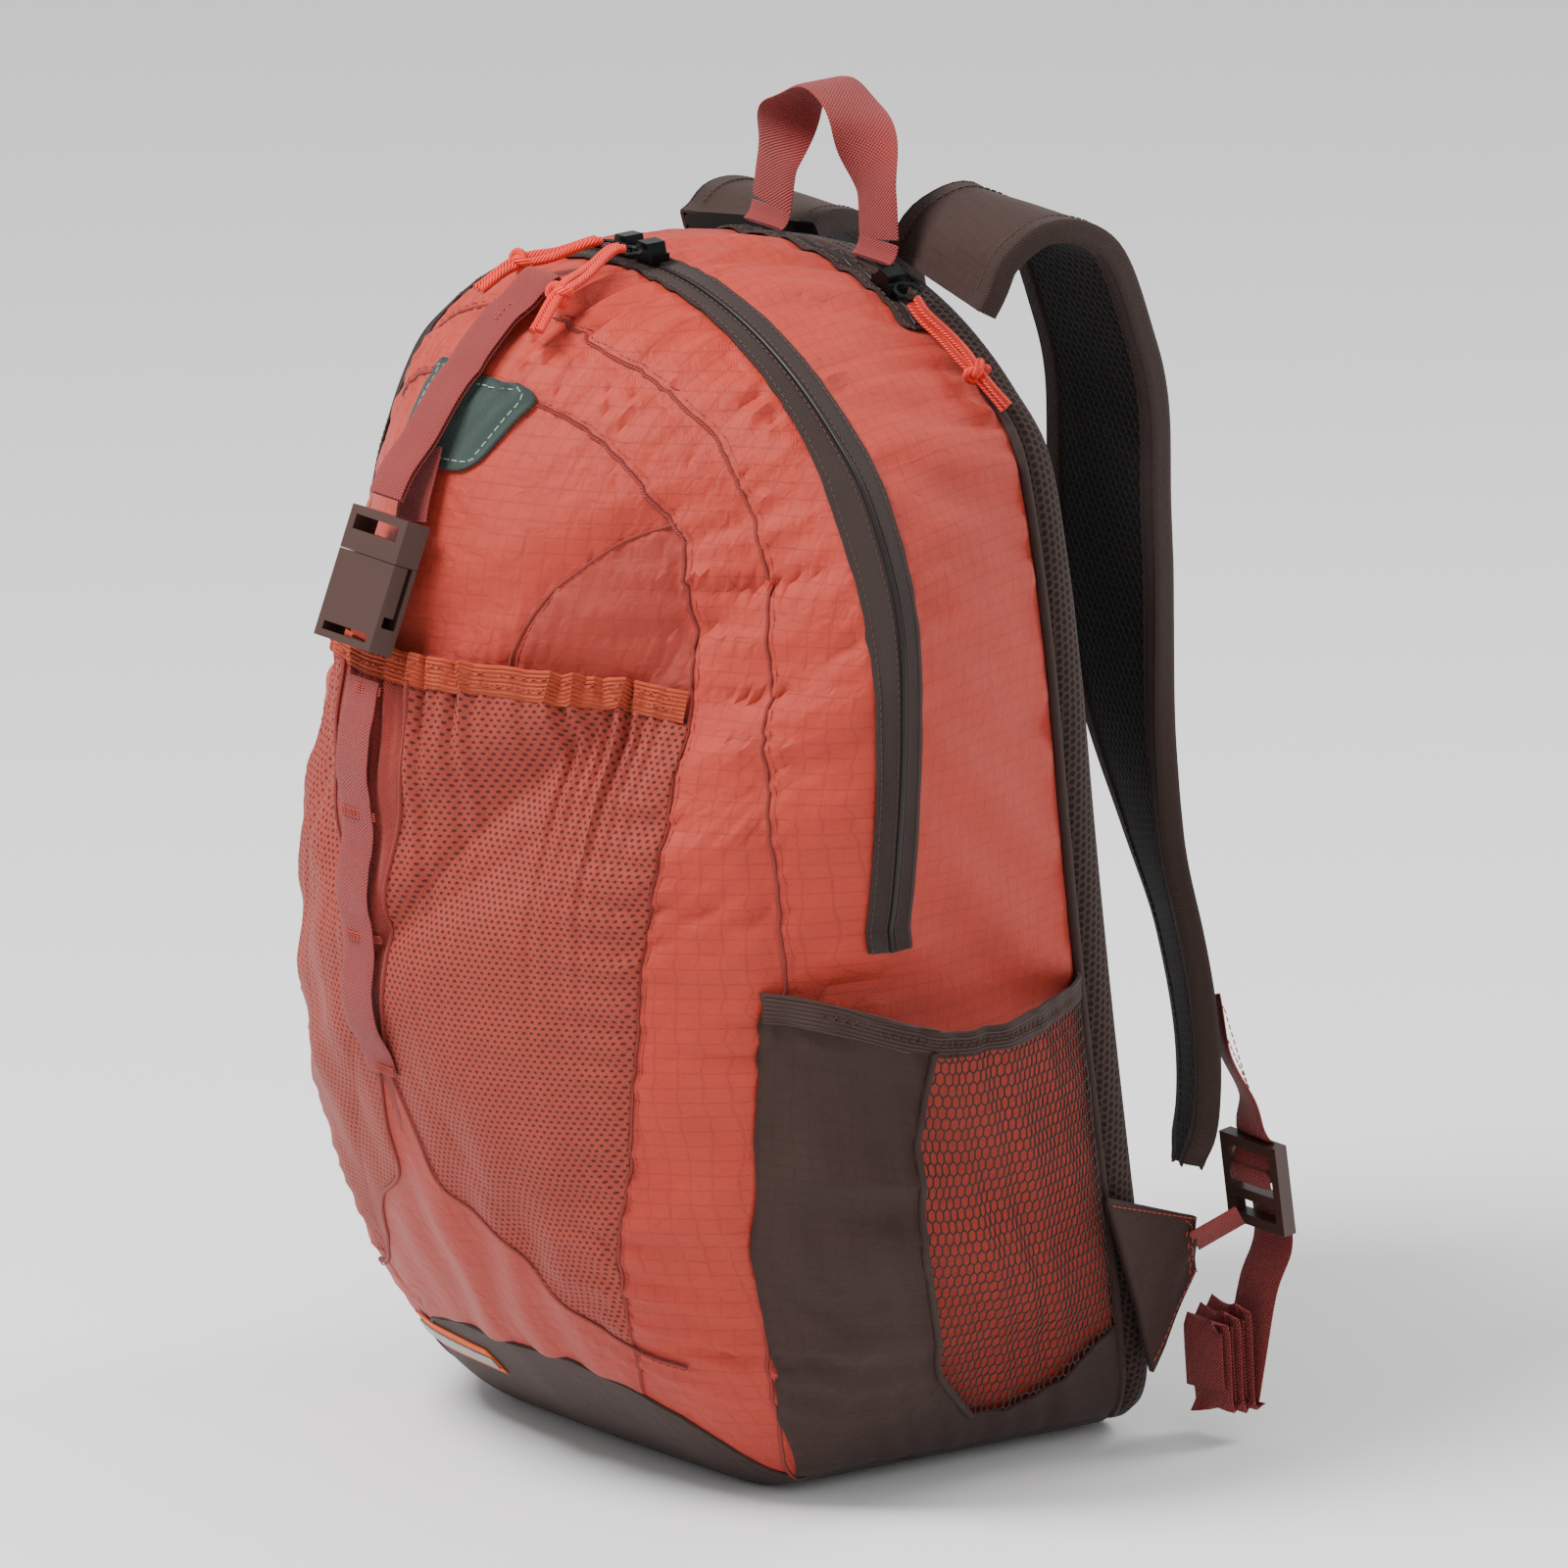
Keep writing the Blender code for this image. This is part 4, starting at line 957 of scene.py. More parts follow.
    def on_arch(self, degrees: float, y: float, lift: float, centre: float) -> Array:
        """A point over the top at an angle from the arch's top, lifted away from its centre."""
        angle = math.radians(degrees)
        out = np.array([math.sin(angle), 0, math.cos(angle)])
        return self.lay(np.array([0, y, centre]) + out, -out, 0.0) + out * lift


# --- Sub-assemblies --------------------------------------------------------------


def triangles(faces: Sequence[tuple[int, ...]]) -> Array:
    """Quads as pairs of triangles."""
    return np.array([t for a, b, c, d in faces for t in ((a, b, c), (a, c, d))])


def seam_half_width(z: Array | float) -> Array:
    """Where the inner front seam is at a height."""
    return np.interp(z, SEAM_INNER[::-1, 1], SEAM_INNER[::-1, 0])


@dataclass
class Dresser:
    """What every sub-assembly needs."""

    form: BagForm
    paints: Paints
    stitcher: Stitcher
    nodes: dict[str, bpy.types.Object]

    def paint(self, finish: Finish) -> bpy.types.Material:
        """A finish's material."""
        return self.paints.of(finish)

    def front_line(self, line: Array, side: int, lift: float, step: float = 0.003) -> Array:
        """A line of (x, z) laid over the front on one side."""
        path = even(spline([(side * x, 0, z) for x, z in line], 8 * len(line)), step)
        return np.array([self.form.on_front(x, z, lift) for x, _, z in path])

    def keep_cad(self, finish: Finish, *names: str, bevel: float = 0.0006) -> None:
        """Shows CAD nodes in a finish, with their edges rounded."""
        for name in names:
            node = self.nodes[name]
            node.data.materials.clear()
            node.data.materials.append(self.paint(finish))
            if bevel:
                modifier = node.modifiers.new("rounded", "BEVEL")
                modifier.width = bevel
                modifier.segments = 2
                modifier.angle_limit = math.radians(35)


@dataclass
class Shells:
    """The coral shells before and behind the main zip, and the brown base under them."""

    kit: Dresser
    base_lift: float = 0.0007
    rear_base_z: float = 0.014
    base_half: float = 0.108

    def build(self) -> None:
        """Makes the shells, the base, their seams and the arch-shaped top stitching."""
        form, kit = self.kit.form, self.kit
        around = form.around
        tip = [[0, form.front[0, 0, 1], S.front_z]]
        verts = np.vstack([form.front.reshape(-1, 3), tip])
        faces = triangles(grid_faces(len(form.front), around, closed=True))
        fan = np.array([((i + 1) % around, i, len(verts) - 1) for i in range(around)])
        faces = np.vstack([faces, fan])
        shade = self.shade(verts)
        front_extra = np.stack([verts[:, 0], verts[:, 2], shade], axis=1)
        rear = form.rear
        along = travelled(np.vstack([rear[0], rear[0][:1]]))[:-1]
        rear_extra = np.stack(
            [np.broadcast_to(along[None], rear.shape[:2]), rear[..., 1], np.zeros(rear.shape[:2])], axis=2
        )
        rear_faces = triangles(grid_faces(len(rear), around, closed=True))
        parts = {
            "front": (verts, front_extra, faces),
            "rear": (rear.reshape(-1, 3), rear_extra.reshape(-1, 3), rear_faces)
        }
        lower = []
        for word, (points, extra, tris) in parts.items():
            edge = np.interp(np.abs(points[:, 0]), *BASE_EDGE) if word == "front" else self.rear_base_z
            above = points[:, 2] - edge
            kept, columns, made = clip(points, extra, tris, above + 1e-6)
            obj = mesh_object(
                f"{word}_shell_cloth", kept, made, columns[:, :2], kit.paint(CORAL), columns[:, 2]
            )
            outwards(obj)
            wear(obj, ROOT, f"{word}_shell")
            away = unit(points - np.array([0, -0.05, 0.14]))
            kept, columns, made = clip(points + away * self.base_lift, extra, tris, -above)
            lower.append(mesh_object(f"base_{word}", kept, made, columns[:, :2], kit.paint(BROWN)))
        bottom = form.rear[-1].copy()
        bottom[:, 1] += 0.0005
        share = np.linspace(1, 0, 6)[:, None, None]
        fill = np.concatenate(
            [bottom[None] * share + np.array([0, bottom[:, 1].mean(), 0.02]) * (1 - share)]
        )
        low = fill[:, fill[0, :, 2] < 0.030]
        lower.append(grid_object("base_rear_fill", low, kit.paint(BROWN), 0.0))
        base = outwards(join("base_cloth", lower))
        wear(base, ROOT, "base_panel")
        self.seams()

    def shade(self, verts: Array) -> Array:
        """How much deeper the cloth's colour is: most in the corners under the arched stitching, where the
        twill is darker, with painted shade that darkens the front towards its bottom.
        """
        x, z = np.abs(verts[:, 0]), verts[:, 2]
        inside = smooth(0.0, 0.002, seam_half_width(z) - x) * smooth(0.0, 0.002, 0.458 - z)
        arch = np.interp(z, SEAM_ARCH[::-1, 1], SEAM_ARCH[::-1, 0])
        corner = inside * smooth(0.0, 0.002, x - arch) * smooth(0.412, 0.408, z)
        # Inside the seam and in its arched corners the twill is really deeper; the last term is painted
        # shade on the low front, which faces away from the light.
        return np.clip(0.15 * inside + 0.55 * corner + 0.25 * smooth(0.20, 0.08, z) * (x < 0.16), 0, 1)

    def seams(self) -> None:
        """Piping in the valleys, and stitches beside them."""
        kit = self.kit
        piping, lines = [], []
        for k, (line, radius) in enumerate(
            ((SEAM_INNER, 0.0010), (SEAM_OUTER, 0.0009), (SEAM_ARCH, 0.0009))
        ):
            for word, side in SIDES:
                path = kit.front_line(line, side, 0.0001)
                piping.append(tube(f"seam_{k}_{word}", path, radius, kit.paint(CORAL_DEEP), 6))
                lines.append(kit.front_line(line + [0.0022, 0.0012], side, 0.0002))
        xs = np.linspace(-self.base_half, self.base_half, 60)
        path = np.array([kit.form.on_front(x, np.interp(abs(x), *BASE_EDGE) + 0.0005, 0.0004) for x in xs])
        piping.append(tube("seam_base", even(path, 0.003), 0.0011, kit.paint(BROWN), 6))
        seams = join("front_seams", piping)
        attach(seams, ROOT)
        sewn = kit.stitcher.sew("front_stitches", lines, kit.paint(THREAD))
        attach(sewn, ROOT)
        ring = kit.form.rear_plain[-1]
        ring = ring[ring[:, 2] > 0.010]
        start = int(np.argmax(np.linalg.norm(np.roll(ring, 1, axis=0) - ring, axis=1)))
        ring = np.roll(ring, -start, axis=0)
        back = tube("back_seam_piping", even(ring + [0, 0.0010, 0], 0.004), 0.0023, kit.paint(BROWN), 8)
        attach(back, ROOT)


@dataclass
class BackPanel:
    """The padded back of spacer mesh, with a channel down its middle."""

    kit: Dresser
    channel_half_width: float = 0.016
    channel_depth: float = 0.006

    def build(self) -> None:
        """Makes the panel as one padded piece."""
        form = self.kit.form
        rim = [
            (0.60, 0.02), (0.97, 0.02), (0.985, 0.10), (0.998, 0.30), (1.0, 0.5), (0.992, 0.75),
            (0.975, 0.90), (0.95, 0.985)
        ]
        rim += [(s, 1.0) for s in np.linspace(0.92, 0.02, 40)]
        middle = np.array([0, S.middle[2]])
        rows = []
        for scale, depth in rim:
            flat = middle + (form.back_ring - middle) * scale
            flat[:, 1] = np.maximum(0.0012, flat[:, 1])
            reach = depth * (S.pad - 0.0016)
            if depth > 0.9:
                valley = np.exp(-((flat[:, 0] / self.channel_half_width) ** 4)) * smooth(1.0, 0.9, scale)
                lip = math.exp(-(((scale - 0.90) / 0.022) ** 2)) * 0.0025
                reach = reach - valley * self.channel_depth - lip
                wave = ripple(flat[:, 1] / 0.05 + flat[:, 0] / 0.11, 41)
                reach = reach + 0.0008 * wave * smooth(1.0, 0.9, scale)
            rows.append(np.stack([flat[:, 0], back_y(flat[:, 1]) + 0.0006 + reach, flat[:, 1]], axis=1))
        grid = np.array(rows)
        count = grid.shape[1]
        faces = grid_faces(len(grid), count, closed=True)
        faces += [tuple(range(count)), tuple(range((len(grid) - 1) * count, len(grid) * count))]
        points = grid.reshape(-1, 3)
        around = travelled(form.back_ring)
        side = np.zeros((*grid.shape[:2], 2))
        side[..., 0], side[..., 1] = around[None], grid[..., 1]
        facing = np.array([depth > 0.985 for _, depth in rim])[:, None]
        face = np.broadcast_to(facing, grid.shape[:2]).reshape(-1, 1)
        flat_map = np.where(face, points[:, [0, 2]], side.reshape(-1, 2))
        panel = outwards(mesh_object("back_pad", points, faces, flat_map, self.kit.paint(SPACER)))
        wear(panel, ROOT, "back_panel")


@dataclass
class FrontPocket:
    """The stretch pocket: mesh gathered under elastic, a cloth strip up its middle and an apron below."""

    kit: Dresser
    mouth_z: float = 0.338
    bottom_z: float = 0.046
    slack: float = 0.0056
    gather: float = 0.0023
    binding: float = 0.013
    mouth_half: float = 0.104
    tuck: float = 0.92
    strip: tuple[tuple[float, ...], ...] = (
        (0.15, 0.187, 0.217, 0.247, 0.295, 0.338, 0.35), (0.0005, 0.004, 0.012, 0.013, 0.019, 0.021, 0.024)
    )
    low: tuple[tuple[float, ...], ...] = (
        (0, 0.003, 0.009, 0.014, 0.035, 0.047, 0.058, 0.080, 0.10),
        (0.190, 0.184, 0.154, 0.131, 0.116, 0.103, 0.086, 0.070, 0.064)
    )

    def mouth(self, x: Array | float) -> Array:
        """The height of the mesh's top, under the binding."""
        return self.mouth_z - 0.006 * (np.asarray(x) / 0.10) ** 2

    def lift(self, x: Array | float, z: Array | float) -> Array:
        """How far the pocket stands off the body."""
        half = np.maximum(seam_half_width(z), 0.02)
        across = np.clip(1 - (np.asarray(x) / half) ** 2, 0, 1)
        rise = 0.0012 + self.slack * across * smooth(0.12, 0.33, z)
        rise = rise + 0.0020 * across**0.5 * smooth(0.05, 0.12, z)
        near = np.exp(-np.maximum(0, self.mouth(x) - np.asarray(z)) / 0.048) * np.clip(across * 3, 0, 1)
        waves = ripple(np.asarray(x) / 0.0085 + np.asarray(z) / 0.25, 51)
        sag = ripple(np.asarray(x) / 0.030 - np.asarray(z) / 0.12, 52)
        loose = 0.0012 * sag * smooth(0.20, 0.10, z) * across
        return rise + self.gather * waves * near + loose

    def build(self) -> None:
        """Makes the pocket's panels, its binding and its seams."""
        kit = self.kit
        rows, columns = 120, 190
        share = np.linspace(-1, 1, columns)
        x = np.zeros((rows, columns))
        z = np.zeros((rows, columns))
        for i, t in enumerate(np.linspace(0, 1, rows)):
            for _ in range(3):
                half = seam_half_width(z[i]) if z[i].any() else np.full(columns, 0.1)
                x[i] = share * half
                bottom = np.maximum(self.bottom_z, np.interp(np.abs(x[i]), *BASE_EDGE) + 0.002)
                z[i] = bottom + t * (self.mouth(x[i]) - bottom)
        lifts = self.lift(x, z)
        grid = np.array([[kit.form.on_front(a, b, c) for a, b, c in zip(*row)] for row in zip(x, z, lifts)])
        verts = grid.reshape(-1, 3)
        flat_x, flat_z = x.reshape(-1), z.reshape(-1)
        extra = np.stack([flat_x, flat_z, np.zeros(len(flat_x))], axis=1)
        faces = triangles(grid_faces(rows, columns))
        strip = np.interp(flat_z, *self.strip) - np.abs(flat_x)
        above = flat_z - np.interp(np.abs(flat_x), *self.low)
        regions = {
            "pocket_strip": (np.where(flat_z > 0.15, strip, -1.0), CORAL_DEEP),
            "pocket_mesh": (np.minimum(-strip, above), STRETCH),
            "pocket_apron": (np.minimum(-above, np.where(flat_z > 0.15, -strip, 1.0)), CORAL),
        }
        made = []
        for name, (keep, finish) in regions.items():
            points, columns_kept, polygons = clip(verts, extra, faces, keep + 1e-6)
            # Painted shade: the coral apron under the pocket is darkened throughout, for the shade on the
            # low front.
            shade = 0.45 * np.ones(len(points)) if finish is CORAL else None
            obj = mesh_object(name, points, polygons, columns_kept[:, :2], kit.paint(finish), shade)
            made.append(thicken(outwards(obj), 0.0011, -1.0))
        pocket = join("pocket_cloth", made)
        wear(pocket, ROOT, "front_pocket")
        self.trim()

    def line(self, points: Sequence[tuple[float, float]], lift: float, step: float = 0.003) -> Array:
        """A line of (x, z) laid over the pocket."""
        path = even(spline([(a, 0, b) for a, b in points], 60), step)
        return np.array([self.kit.form.on_front(a, b, float(self.lift(a, b)) + lift) for a, _, b in path])

    def over_mouth(self, x: float, rise: float, share: float, lift: float) -> Array:
        """A point over the mouth, a rise above the mesh's top, at a share of its lift and a lift more."""
        top = self.mouth(x)
        return self.kit.form.on_front(x, float(top) + rise, float(self.lift(x, top)) * share + lift)

    def trim(self) -> None:
        """The binding over the mouth and the seams between the panels."""
        kit = self.kit
        middle = self.binding / 2 - 0.001
        xs = np.linspace(-self.mouth_half, self.mouth_half, 90)
        path = np.array([self.over_mouth(x, middle, self.tuck, 0.0008) for x in xs])
        up = np.array([self.over_mouth(x, self.binding, 1.0, 0.0) for x in xs]) - path
        band = ribbon("pocket_binding", path, up, self.binding, 0.0020, kit.paint(ELASTIC), 11)
        wear(band, ROOT, "front_pocket_binding")
        seams = []
        for word, side in SIDES:
            lower = [(side * a, b) for a, b in zip(*self.low)][1:]
            edge = [(side * b, a) for a, b in zip(*self.strip)][1:-1]
            for k, points in enumerate((lower, edge)):
                seams.append(
                    tube(
                        f"pocket_seam_{k}_{word}", self.line(points, 0.0003), 0.0009, kit.paint(CORAL_DEEP),
                        6
                    )
                )
        piping = join("pocket_seams", seams)
        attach(piping, ROOT)
        lines = [
            self.line([(side * (a + 0.002), b - 0.002) for a, b in zip(*self.low)][1:], 0.0004)
            for _, side in SIDES
        ]
        sewn = kit.stitcher.sew("pocket_stitches", lines, kit.paint(THREAD))
        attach(sewn, ROOT)
        zigzag = []
        for k in range(2):
            offset = (k - 0.5) * 0.004
            line = []
            for i, a in enumerate(np.arange(-0.101, 0.101, 0.0016)):
                rise = middle + offset + (0.0007 if i % 2 else -0.0007)
                line.append(self.over_mouth(a, rise, self.tuck, 0.0020))
            zigzag.append(tube(f"binding_zigzag_{k}", np.array(line), 0.0003, kit.paint(THREAD), 5))
        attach(join("pocket_zigzag", zigzag), ROOT)


@dataclass
class SidePocket:
    """One side pocket: ripstop at its front, open net behind a piped seam, and elastic round its mouth."""

    kit: Dresser
    netting: Netting
    word: str
    side: int
    bottom_z: float = 0.010
    mouth_z: float = 0.208
    mouth_rise: float = 0.018
    bulge: float = 0.027
    cell: float = 0.0042
    cord: float = 0.00042
    binding: float = 0.012
    seam: tuple[tuple[float, ...], ...] = (
        (0.0, 0.10, 0.22, 0.50, 0.75, 1.0), (0.62, 0.50, 0.385, 0.325, 0.31, 0.36)
    )
    foot: tuple[tuple[float, ...], ...] = (
        (0.0, 0.45, 0.62, 0.80, 0.92, 1.0), (0.10, 0.10, 0.085, 0.13, 0.20, 0.22)
    )

    def place(self, share: float, height: float, lift: float = 0.0) -> Array:
        """A point of the pocket at a share of its width and of its height."""
        top = self.mouth_z + self.mouth_rise * (1 - smooth(0.0, 0.45, share))
        z = self.bottom_z + height * (float(top) - self.bottom_z)
        start = np.interp(z, (0.006, 0.040, 0.115, 0.228), (-0.082, -0.103, -0.125, -0.128))
        y = start + share * (float(back_y(z)) - 0.0005 - start)
        across = math.sin(math.pi * min(1.0, max(0.0, share))) ** 0.8
        rise = 0.0016 + self.bulge * across * float(smooth(-0.05, 0.55, height))
        rise += 0.0010 * float(ripple(np.array(share * 7 + height * 2), 61)) * across
        return self.kit.form.on_side(self.side, y, z, rise + lift)

    def build(self) -> None:
        """Makes the pocket's cloth, net, piping, binding and stitches."""
        kit = self.kit
        rows, columns = 60, 84
        shares, heights = np.linspace(0, 1, columns), np.linspace(0, 1, rows)
        grid = np.array([[self.place(s, h) for s in shares] for h in heights])
        share = np.broadcast_to(shares[None], (rows, columns)).reshape(-1)
        height = np.broadcast_to(heights[:, None], (rows, columns)).reshape(-1)
        wide = float(gaps(grid[rows // 2]).sum())
        tall = float(gaps(grid[:, columns // 2]).sum())
        extra = np.stack([share * wide, height * tall], axis=1)
        net = self.net_field(share, height)
        faces = triangles(grid_faces(rows, columns))
        points, mapped, polygons = clip(grid.reshape(-1, 3), extra, faces, -net + 1e-6)
        cloth = mesh_object(f"side_pocket_cloth_{self.word}", points, polygons, mapped, kit.paint(BROWN))
        cloth = thicken(outwards(cloth), 0.0012, -1.0)
        lattice, edges = self.lattice(wide, tall)
        name, thread = f"side_pocket_net_{self.word}", kit.paint(NET)
        cords = self.netting.run(name, lattice.tolist(), edges, Radius=self.cord, Material=thread)
        wear(cloth, ROOT, f"side_pocket_{self.word}")
        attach(cords, ROOT)
        self.trim()

    def net_field(self, share: Array, height: Array) -> Array:
        """Above 0 where the pocket is net."""
        return np.minimum(
            share - np.interp(height, *self.seam), (height - np.interp(share, *self.foot)) * 1.2
        )

    def lattice(self, wide: float, tall: float) -> tuple[Array, list[tuple[int, int]]]:
        """The net's hexagons as points and edges."""
        points: dict[tuple[int, int], int] = {}
        verts: list[Array] = []
        edges: list[tuple[int, int]] = []
        step_u, step_v = self.cell / 2, self.cell / 2 * 0.87

        def corner(i: int, j: int) -> int | None:
            """The index of a lattice point, if it is on the net."""
            if (i, j) in points:
                return points[i, j]
            share, height = i * step_u / wide, j * step_v / tall
            if not (
                0 <= share <= 1 and 0 <= height <= 0.97
            ) or self.net_field(np.array(share), np.array(height)) < -0.012:
                return None
            points[i, j] = len(verts)
            verts.append(self.place(share, height))
            return points[i, j]

        for row in range(int(tall / step_v / 3) + 2):
            for column in range(int(wide / step_u / 2) + 2):
                i, j = 2 * column + row % 2, 3 * row
                for a, b in (((i, j), (i, j + 2)), ((i, j), (i - 1, j - 1)), ((i, j), (i + 1, j - 1))):
                    ends = corner(*a), corner(*b)
                    if None not in ends:
                        edges.append(ends)
        return np.array(verts), edges

    def trim(self) -> None:
        """The piping between cloth and net, the elastic and its zigzag."""
        kit = self.kit
        paint = kit.paint(BROWN)
        piped = np.array(
            [self.place(float(np.interp(h, *self.seam)), h, 0.0006) for h in np.linspace(0.09, 0.95, 50)]
        )
        foot = np.array(
            [self.place(s, float(np.interp(s, *self.foot)), 0.0004) for s in np.linspace(0.5, 0.995, 40)]
        )
        parts = [
            tube("piping", even(piped, 0.003), 0.0015, paint, 8),
            tube("foot", even(foot, 0.003), 0.0009, paint, 6)
        ]
        piping = join(f"side_piping_{self.word}", parts)
        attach(piping, ROOT)
        top = self.mouth_z - self.bottom_z
        mid = 1 - self.binding / 2 / top
        path = np.array([self.place(s, mid, -0.0002) for s in np.linspace(0.002, 0.998, 70)])
        up = np.array([self.place(s, 1.0, 0.0) for s in np.linspace(0.002, 0.998, 70)]) - path
        band = ribbon(
            f"side_binding_{self.word}", path, up, self.binding, 0.0026, kit.paint(BROWN_ELASTIC), 11
        )
        wear(band, ROOT, f"side_pocket_binding_{self.word}")
        count = 96
        rows = [
            self.place((i + 0.5) / count, mid + (0.010 if i % 2 else -0.010), 0.0013) for i in range(count)
        ]
        zigzag = tube(f"side_zigzag_{self.word}", np.array(rows), 0.0003, kit.paint(DARK_THREAD), 5)
        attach(zigzag, ROOT)


@dataclass
class Zips:
    """The main zip over the arch and the short zip behind it, with sliders and pullers."""

    kit: Dresser
    tape: float = 0.0105
    rear_tape: float = 0.0072
    rear_span: tuple[float, float] = (-36, 28)
    arch_low_z: float = 0.236
    cord: float = 0.0019
    pair: float = 0.0075
    knot_scale: float = 0.00155

    def build(self) -> None:
        """Makes the tapes, the coils and the three pullers."""
        kit = self.kit
        ring = kit.form.zip_ring[kit.form.zip_ring[:, 1] > self.arch_low_z]
        start = int(np.argmax(np.linalg.norm(np.roll(ring, 1, axis=0) - ring, axis=1)))
        ring = np.roll(ring, -start, axis=0)
        turns = np.degrees(np.arctan2(ring[:, 0], ring[:, 1] - S.zip_centre_z))
        for word, edge in (("front", -1), ("rear", 1)):
            self.tape_of(
                f"main_tape_{word}", turns, S.zip_y + edge * 0.0006, S.zip_y + edge * self.tape,
                S.zip_centre_z, f"main_zip_tape_{word}"
            )
        coil = np.array([kit.form.on_arch(t, S.zip_y, 0.0021, S.zip_centre_z) for t in turns])
        line = tube("main_zip_coil", even(coil, 0.003), 0.0011, kit.paint(COIL), 8)
        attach(line, ROOT)
        turns = np.linspace(*self.rear_span, 80)
        self.tape_of("rear_tape", turns, -self.rear_tape, self.rear_tape, S.back_centre_z, "rear_zip_tape")
        coil = np.array(
            [
                kit.form.on_arch(t, 0.0, 0.0020, S.back_centre_z)
                for t in np.linspace(self.rear_span[0] + 1, self.rear_span[1] - 1, 60)
            ]
        )
        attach(tube("rear_zip_coil", even(coil, 0.003), 0.0009, kit.paint(COIL), 8), ROOT)
        kit.keep_cad(
            METAL, "main_zip_slider_right", "main_zip_slider_left", "rear_zip_slider", "pull_ring_right",
            "pull_ring_left", "pull_ring_rear", bevel=0.0
        )
        routes = {
            "right": [
                (0.0075, -0.0955, 0.4990), (0.0080, -0.1015, 0.4990), (0.0130, -0.1170, 0.4955),
                (0.0190, -0.1350, 0.4895), (0.0250, -0.1520, 0.4790)
            ],
            "left": [
                (-0.0072, -0.0955, 0.4990), (-0.0080, -0.1010, 0.4990), (-0.0140, -0.1100, 0.4965),
                (-0.0210, -0.1240, 0.4925), (-0.0230, -0.1440, 0.4850)
            ],
            "rear": [
                (0.0760, 0.0, 0.4765), (0.0825, 0.0, 0.4715), (0.0950, 0.0015, 0.4645),
                (0.1112, 0.0040, 0.4545), (0.1222, 0.0095, 0.4405)
            ],
        }
        for word, route in routes.items():
            self.puller(word, np.array(route))

    def tape_of(self, name: str, turns: Array, low: float, high: float, centre: float, node: str) -> None:
        """One tape, laid over the arch."""
        kit = self.kit
        ys = np.linspace(low, high, 7)
        grid = np.array([[kit.form.on_arch(t, y, 0.0014, centre) for y in ys] for t in turns])
        obj = outwards(grid_object(name, grid, kit.paint(TAPE), 0.0009))
        wear(obj, ROOT, node)
        lines = [np.array([kit.form.on_arch(t, y, 0.0020, centre) for t in turns]) for y in (ys[1], ys[5])]
        sewn = kit.stitcher.sew(name + "_stitches", lines, kit.paint(DARK_THREAD))
        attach(sewn, ROOT)

    def puller(self, word: str, route: Array) -> None:
        """The doubled cord of one slider, its knot and its tail.

        Args:
            word: Which puller it is.
            route: From the ring to the tail's end; the last but one is the knot.
        """
        kit = self.kit
        body = f"main_puller_{word}" if word != "rear" else "rear_puller"
        path = even(spline(route, 40), 0.0015)
        side, out = frames_of(path, np.array([1.0, 0.3, 0.0]))
        knot = route[-2]
        near = np.exp(-((np.linalg.norm(path - knot, axis=1) / 0.006) ** 2))[:, None]
        share = np.linspace(0.0, 1.0, len(path))[:, None]
        strands = []
        for sign in (-1, 1):
            twist = 0.0011 * np.sin(share * 9 + sign)
            line = path + side * sign * self.cord * 0.98 * (1 - 0.2 * near) + out * twist * sign
            strands.append(tube(f"strand_{sign}", line, self.cord, kit.paint(CORD), 8))
        cord = join(f"pull_cord_pair_{word}", strands)
        t = np.linspace(0, 2 * math.pi, 60, endpoint=False)
        trefoil = [np.sin(t) + 2 * np.sin(2 * t), np.cos(t) - 2 * np.cos(2 * t), -np.sin(3 * t)]
        loops = np.stack(trefoil, axis=1) * self.knot_scale
        k = int(np.argmin(np.linalg.norm(path - knot, axis=1)))
        along = unit(path[min(k + 1, len(path) - 1)] - path[max(k - 1, 0)])
        basis = np.stack([side[k], out[k], along], axis=0)
        ball = tube(
            f"pull_knot_loops_{word}", knot + loops @ basis, self.cord * 1.02, kit.paint(CORD), 8,
            closed=True
        )
        for obj in (cord, ball):
            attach(obj, body)
        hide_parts(f"pull_cord_{word}", f"pull_tail_{word}")
        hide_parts(f"pull_knot_{word}")


@dataclass
class HaulLoop:
    """The webbing loop at the top of the back."""

    kit: Dresser
    width: float = 0.025
    thickness: float = 0.0017
    half: float = 0.035
    top: float = 0.549
    root: float = 0.4915

    def build(self) -> None:
        """Makes the loop and the tabs at its roots."""
        kit, half, top, root = self.kit, self.half, self.top, self.root
        path = [
            (-half, 0.014, root), (-half + 0.004, 0.015, 0.515), (-0.020, 0.015, 0.538), (0, 0.015, top)
        ]
        path += [(0.020, 0.015, 0.538), (half - 0.004, 0.015, 0.515), (half, 0.014, root)]
        line = spline(path, 90)
        share = np.linspace(0, 1, 90)
        twist = math.pi / 2 * smooth(0.12, 0.42, np.minimum(share, 1 - share))
        across = np.stack([np.cos(twist), np.sin(twist), np.zeros(90)], axis=1)
        loop = ribbon("haul_webbing", line, across, self.width, self.thickness, kit.paint(WEBBING), 11)
        wear(loop, "haul_loop", "haul_loop")
        tabs = []
        for word, side in SIDES:
            ends = np.array(
                [
                    (side * half, y, root - drop)
                    for y, drop in ((0.0140, 0.0005), (0.0130, 0.0040), (0.0112, 0.0065), (0.0095, 0.0075))
                ]
            )
            line = spline([tuple(p) for p in ends], 14)
            tabs.append(
                ribbon(f"tab_{word}", line, ALONG_X, self.width, self.thickness, kit.paint(WEBBING), 9)
            )
        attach(join("haul_tabs", tabs), ROOT)


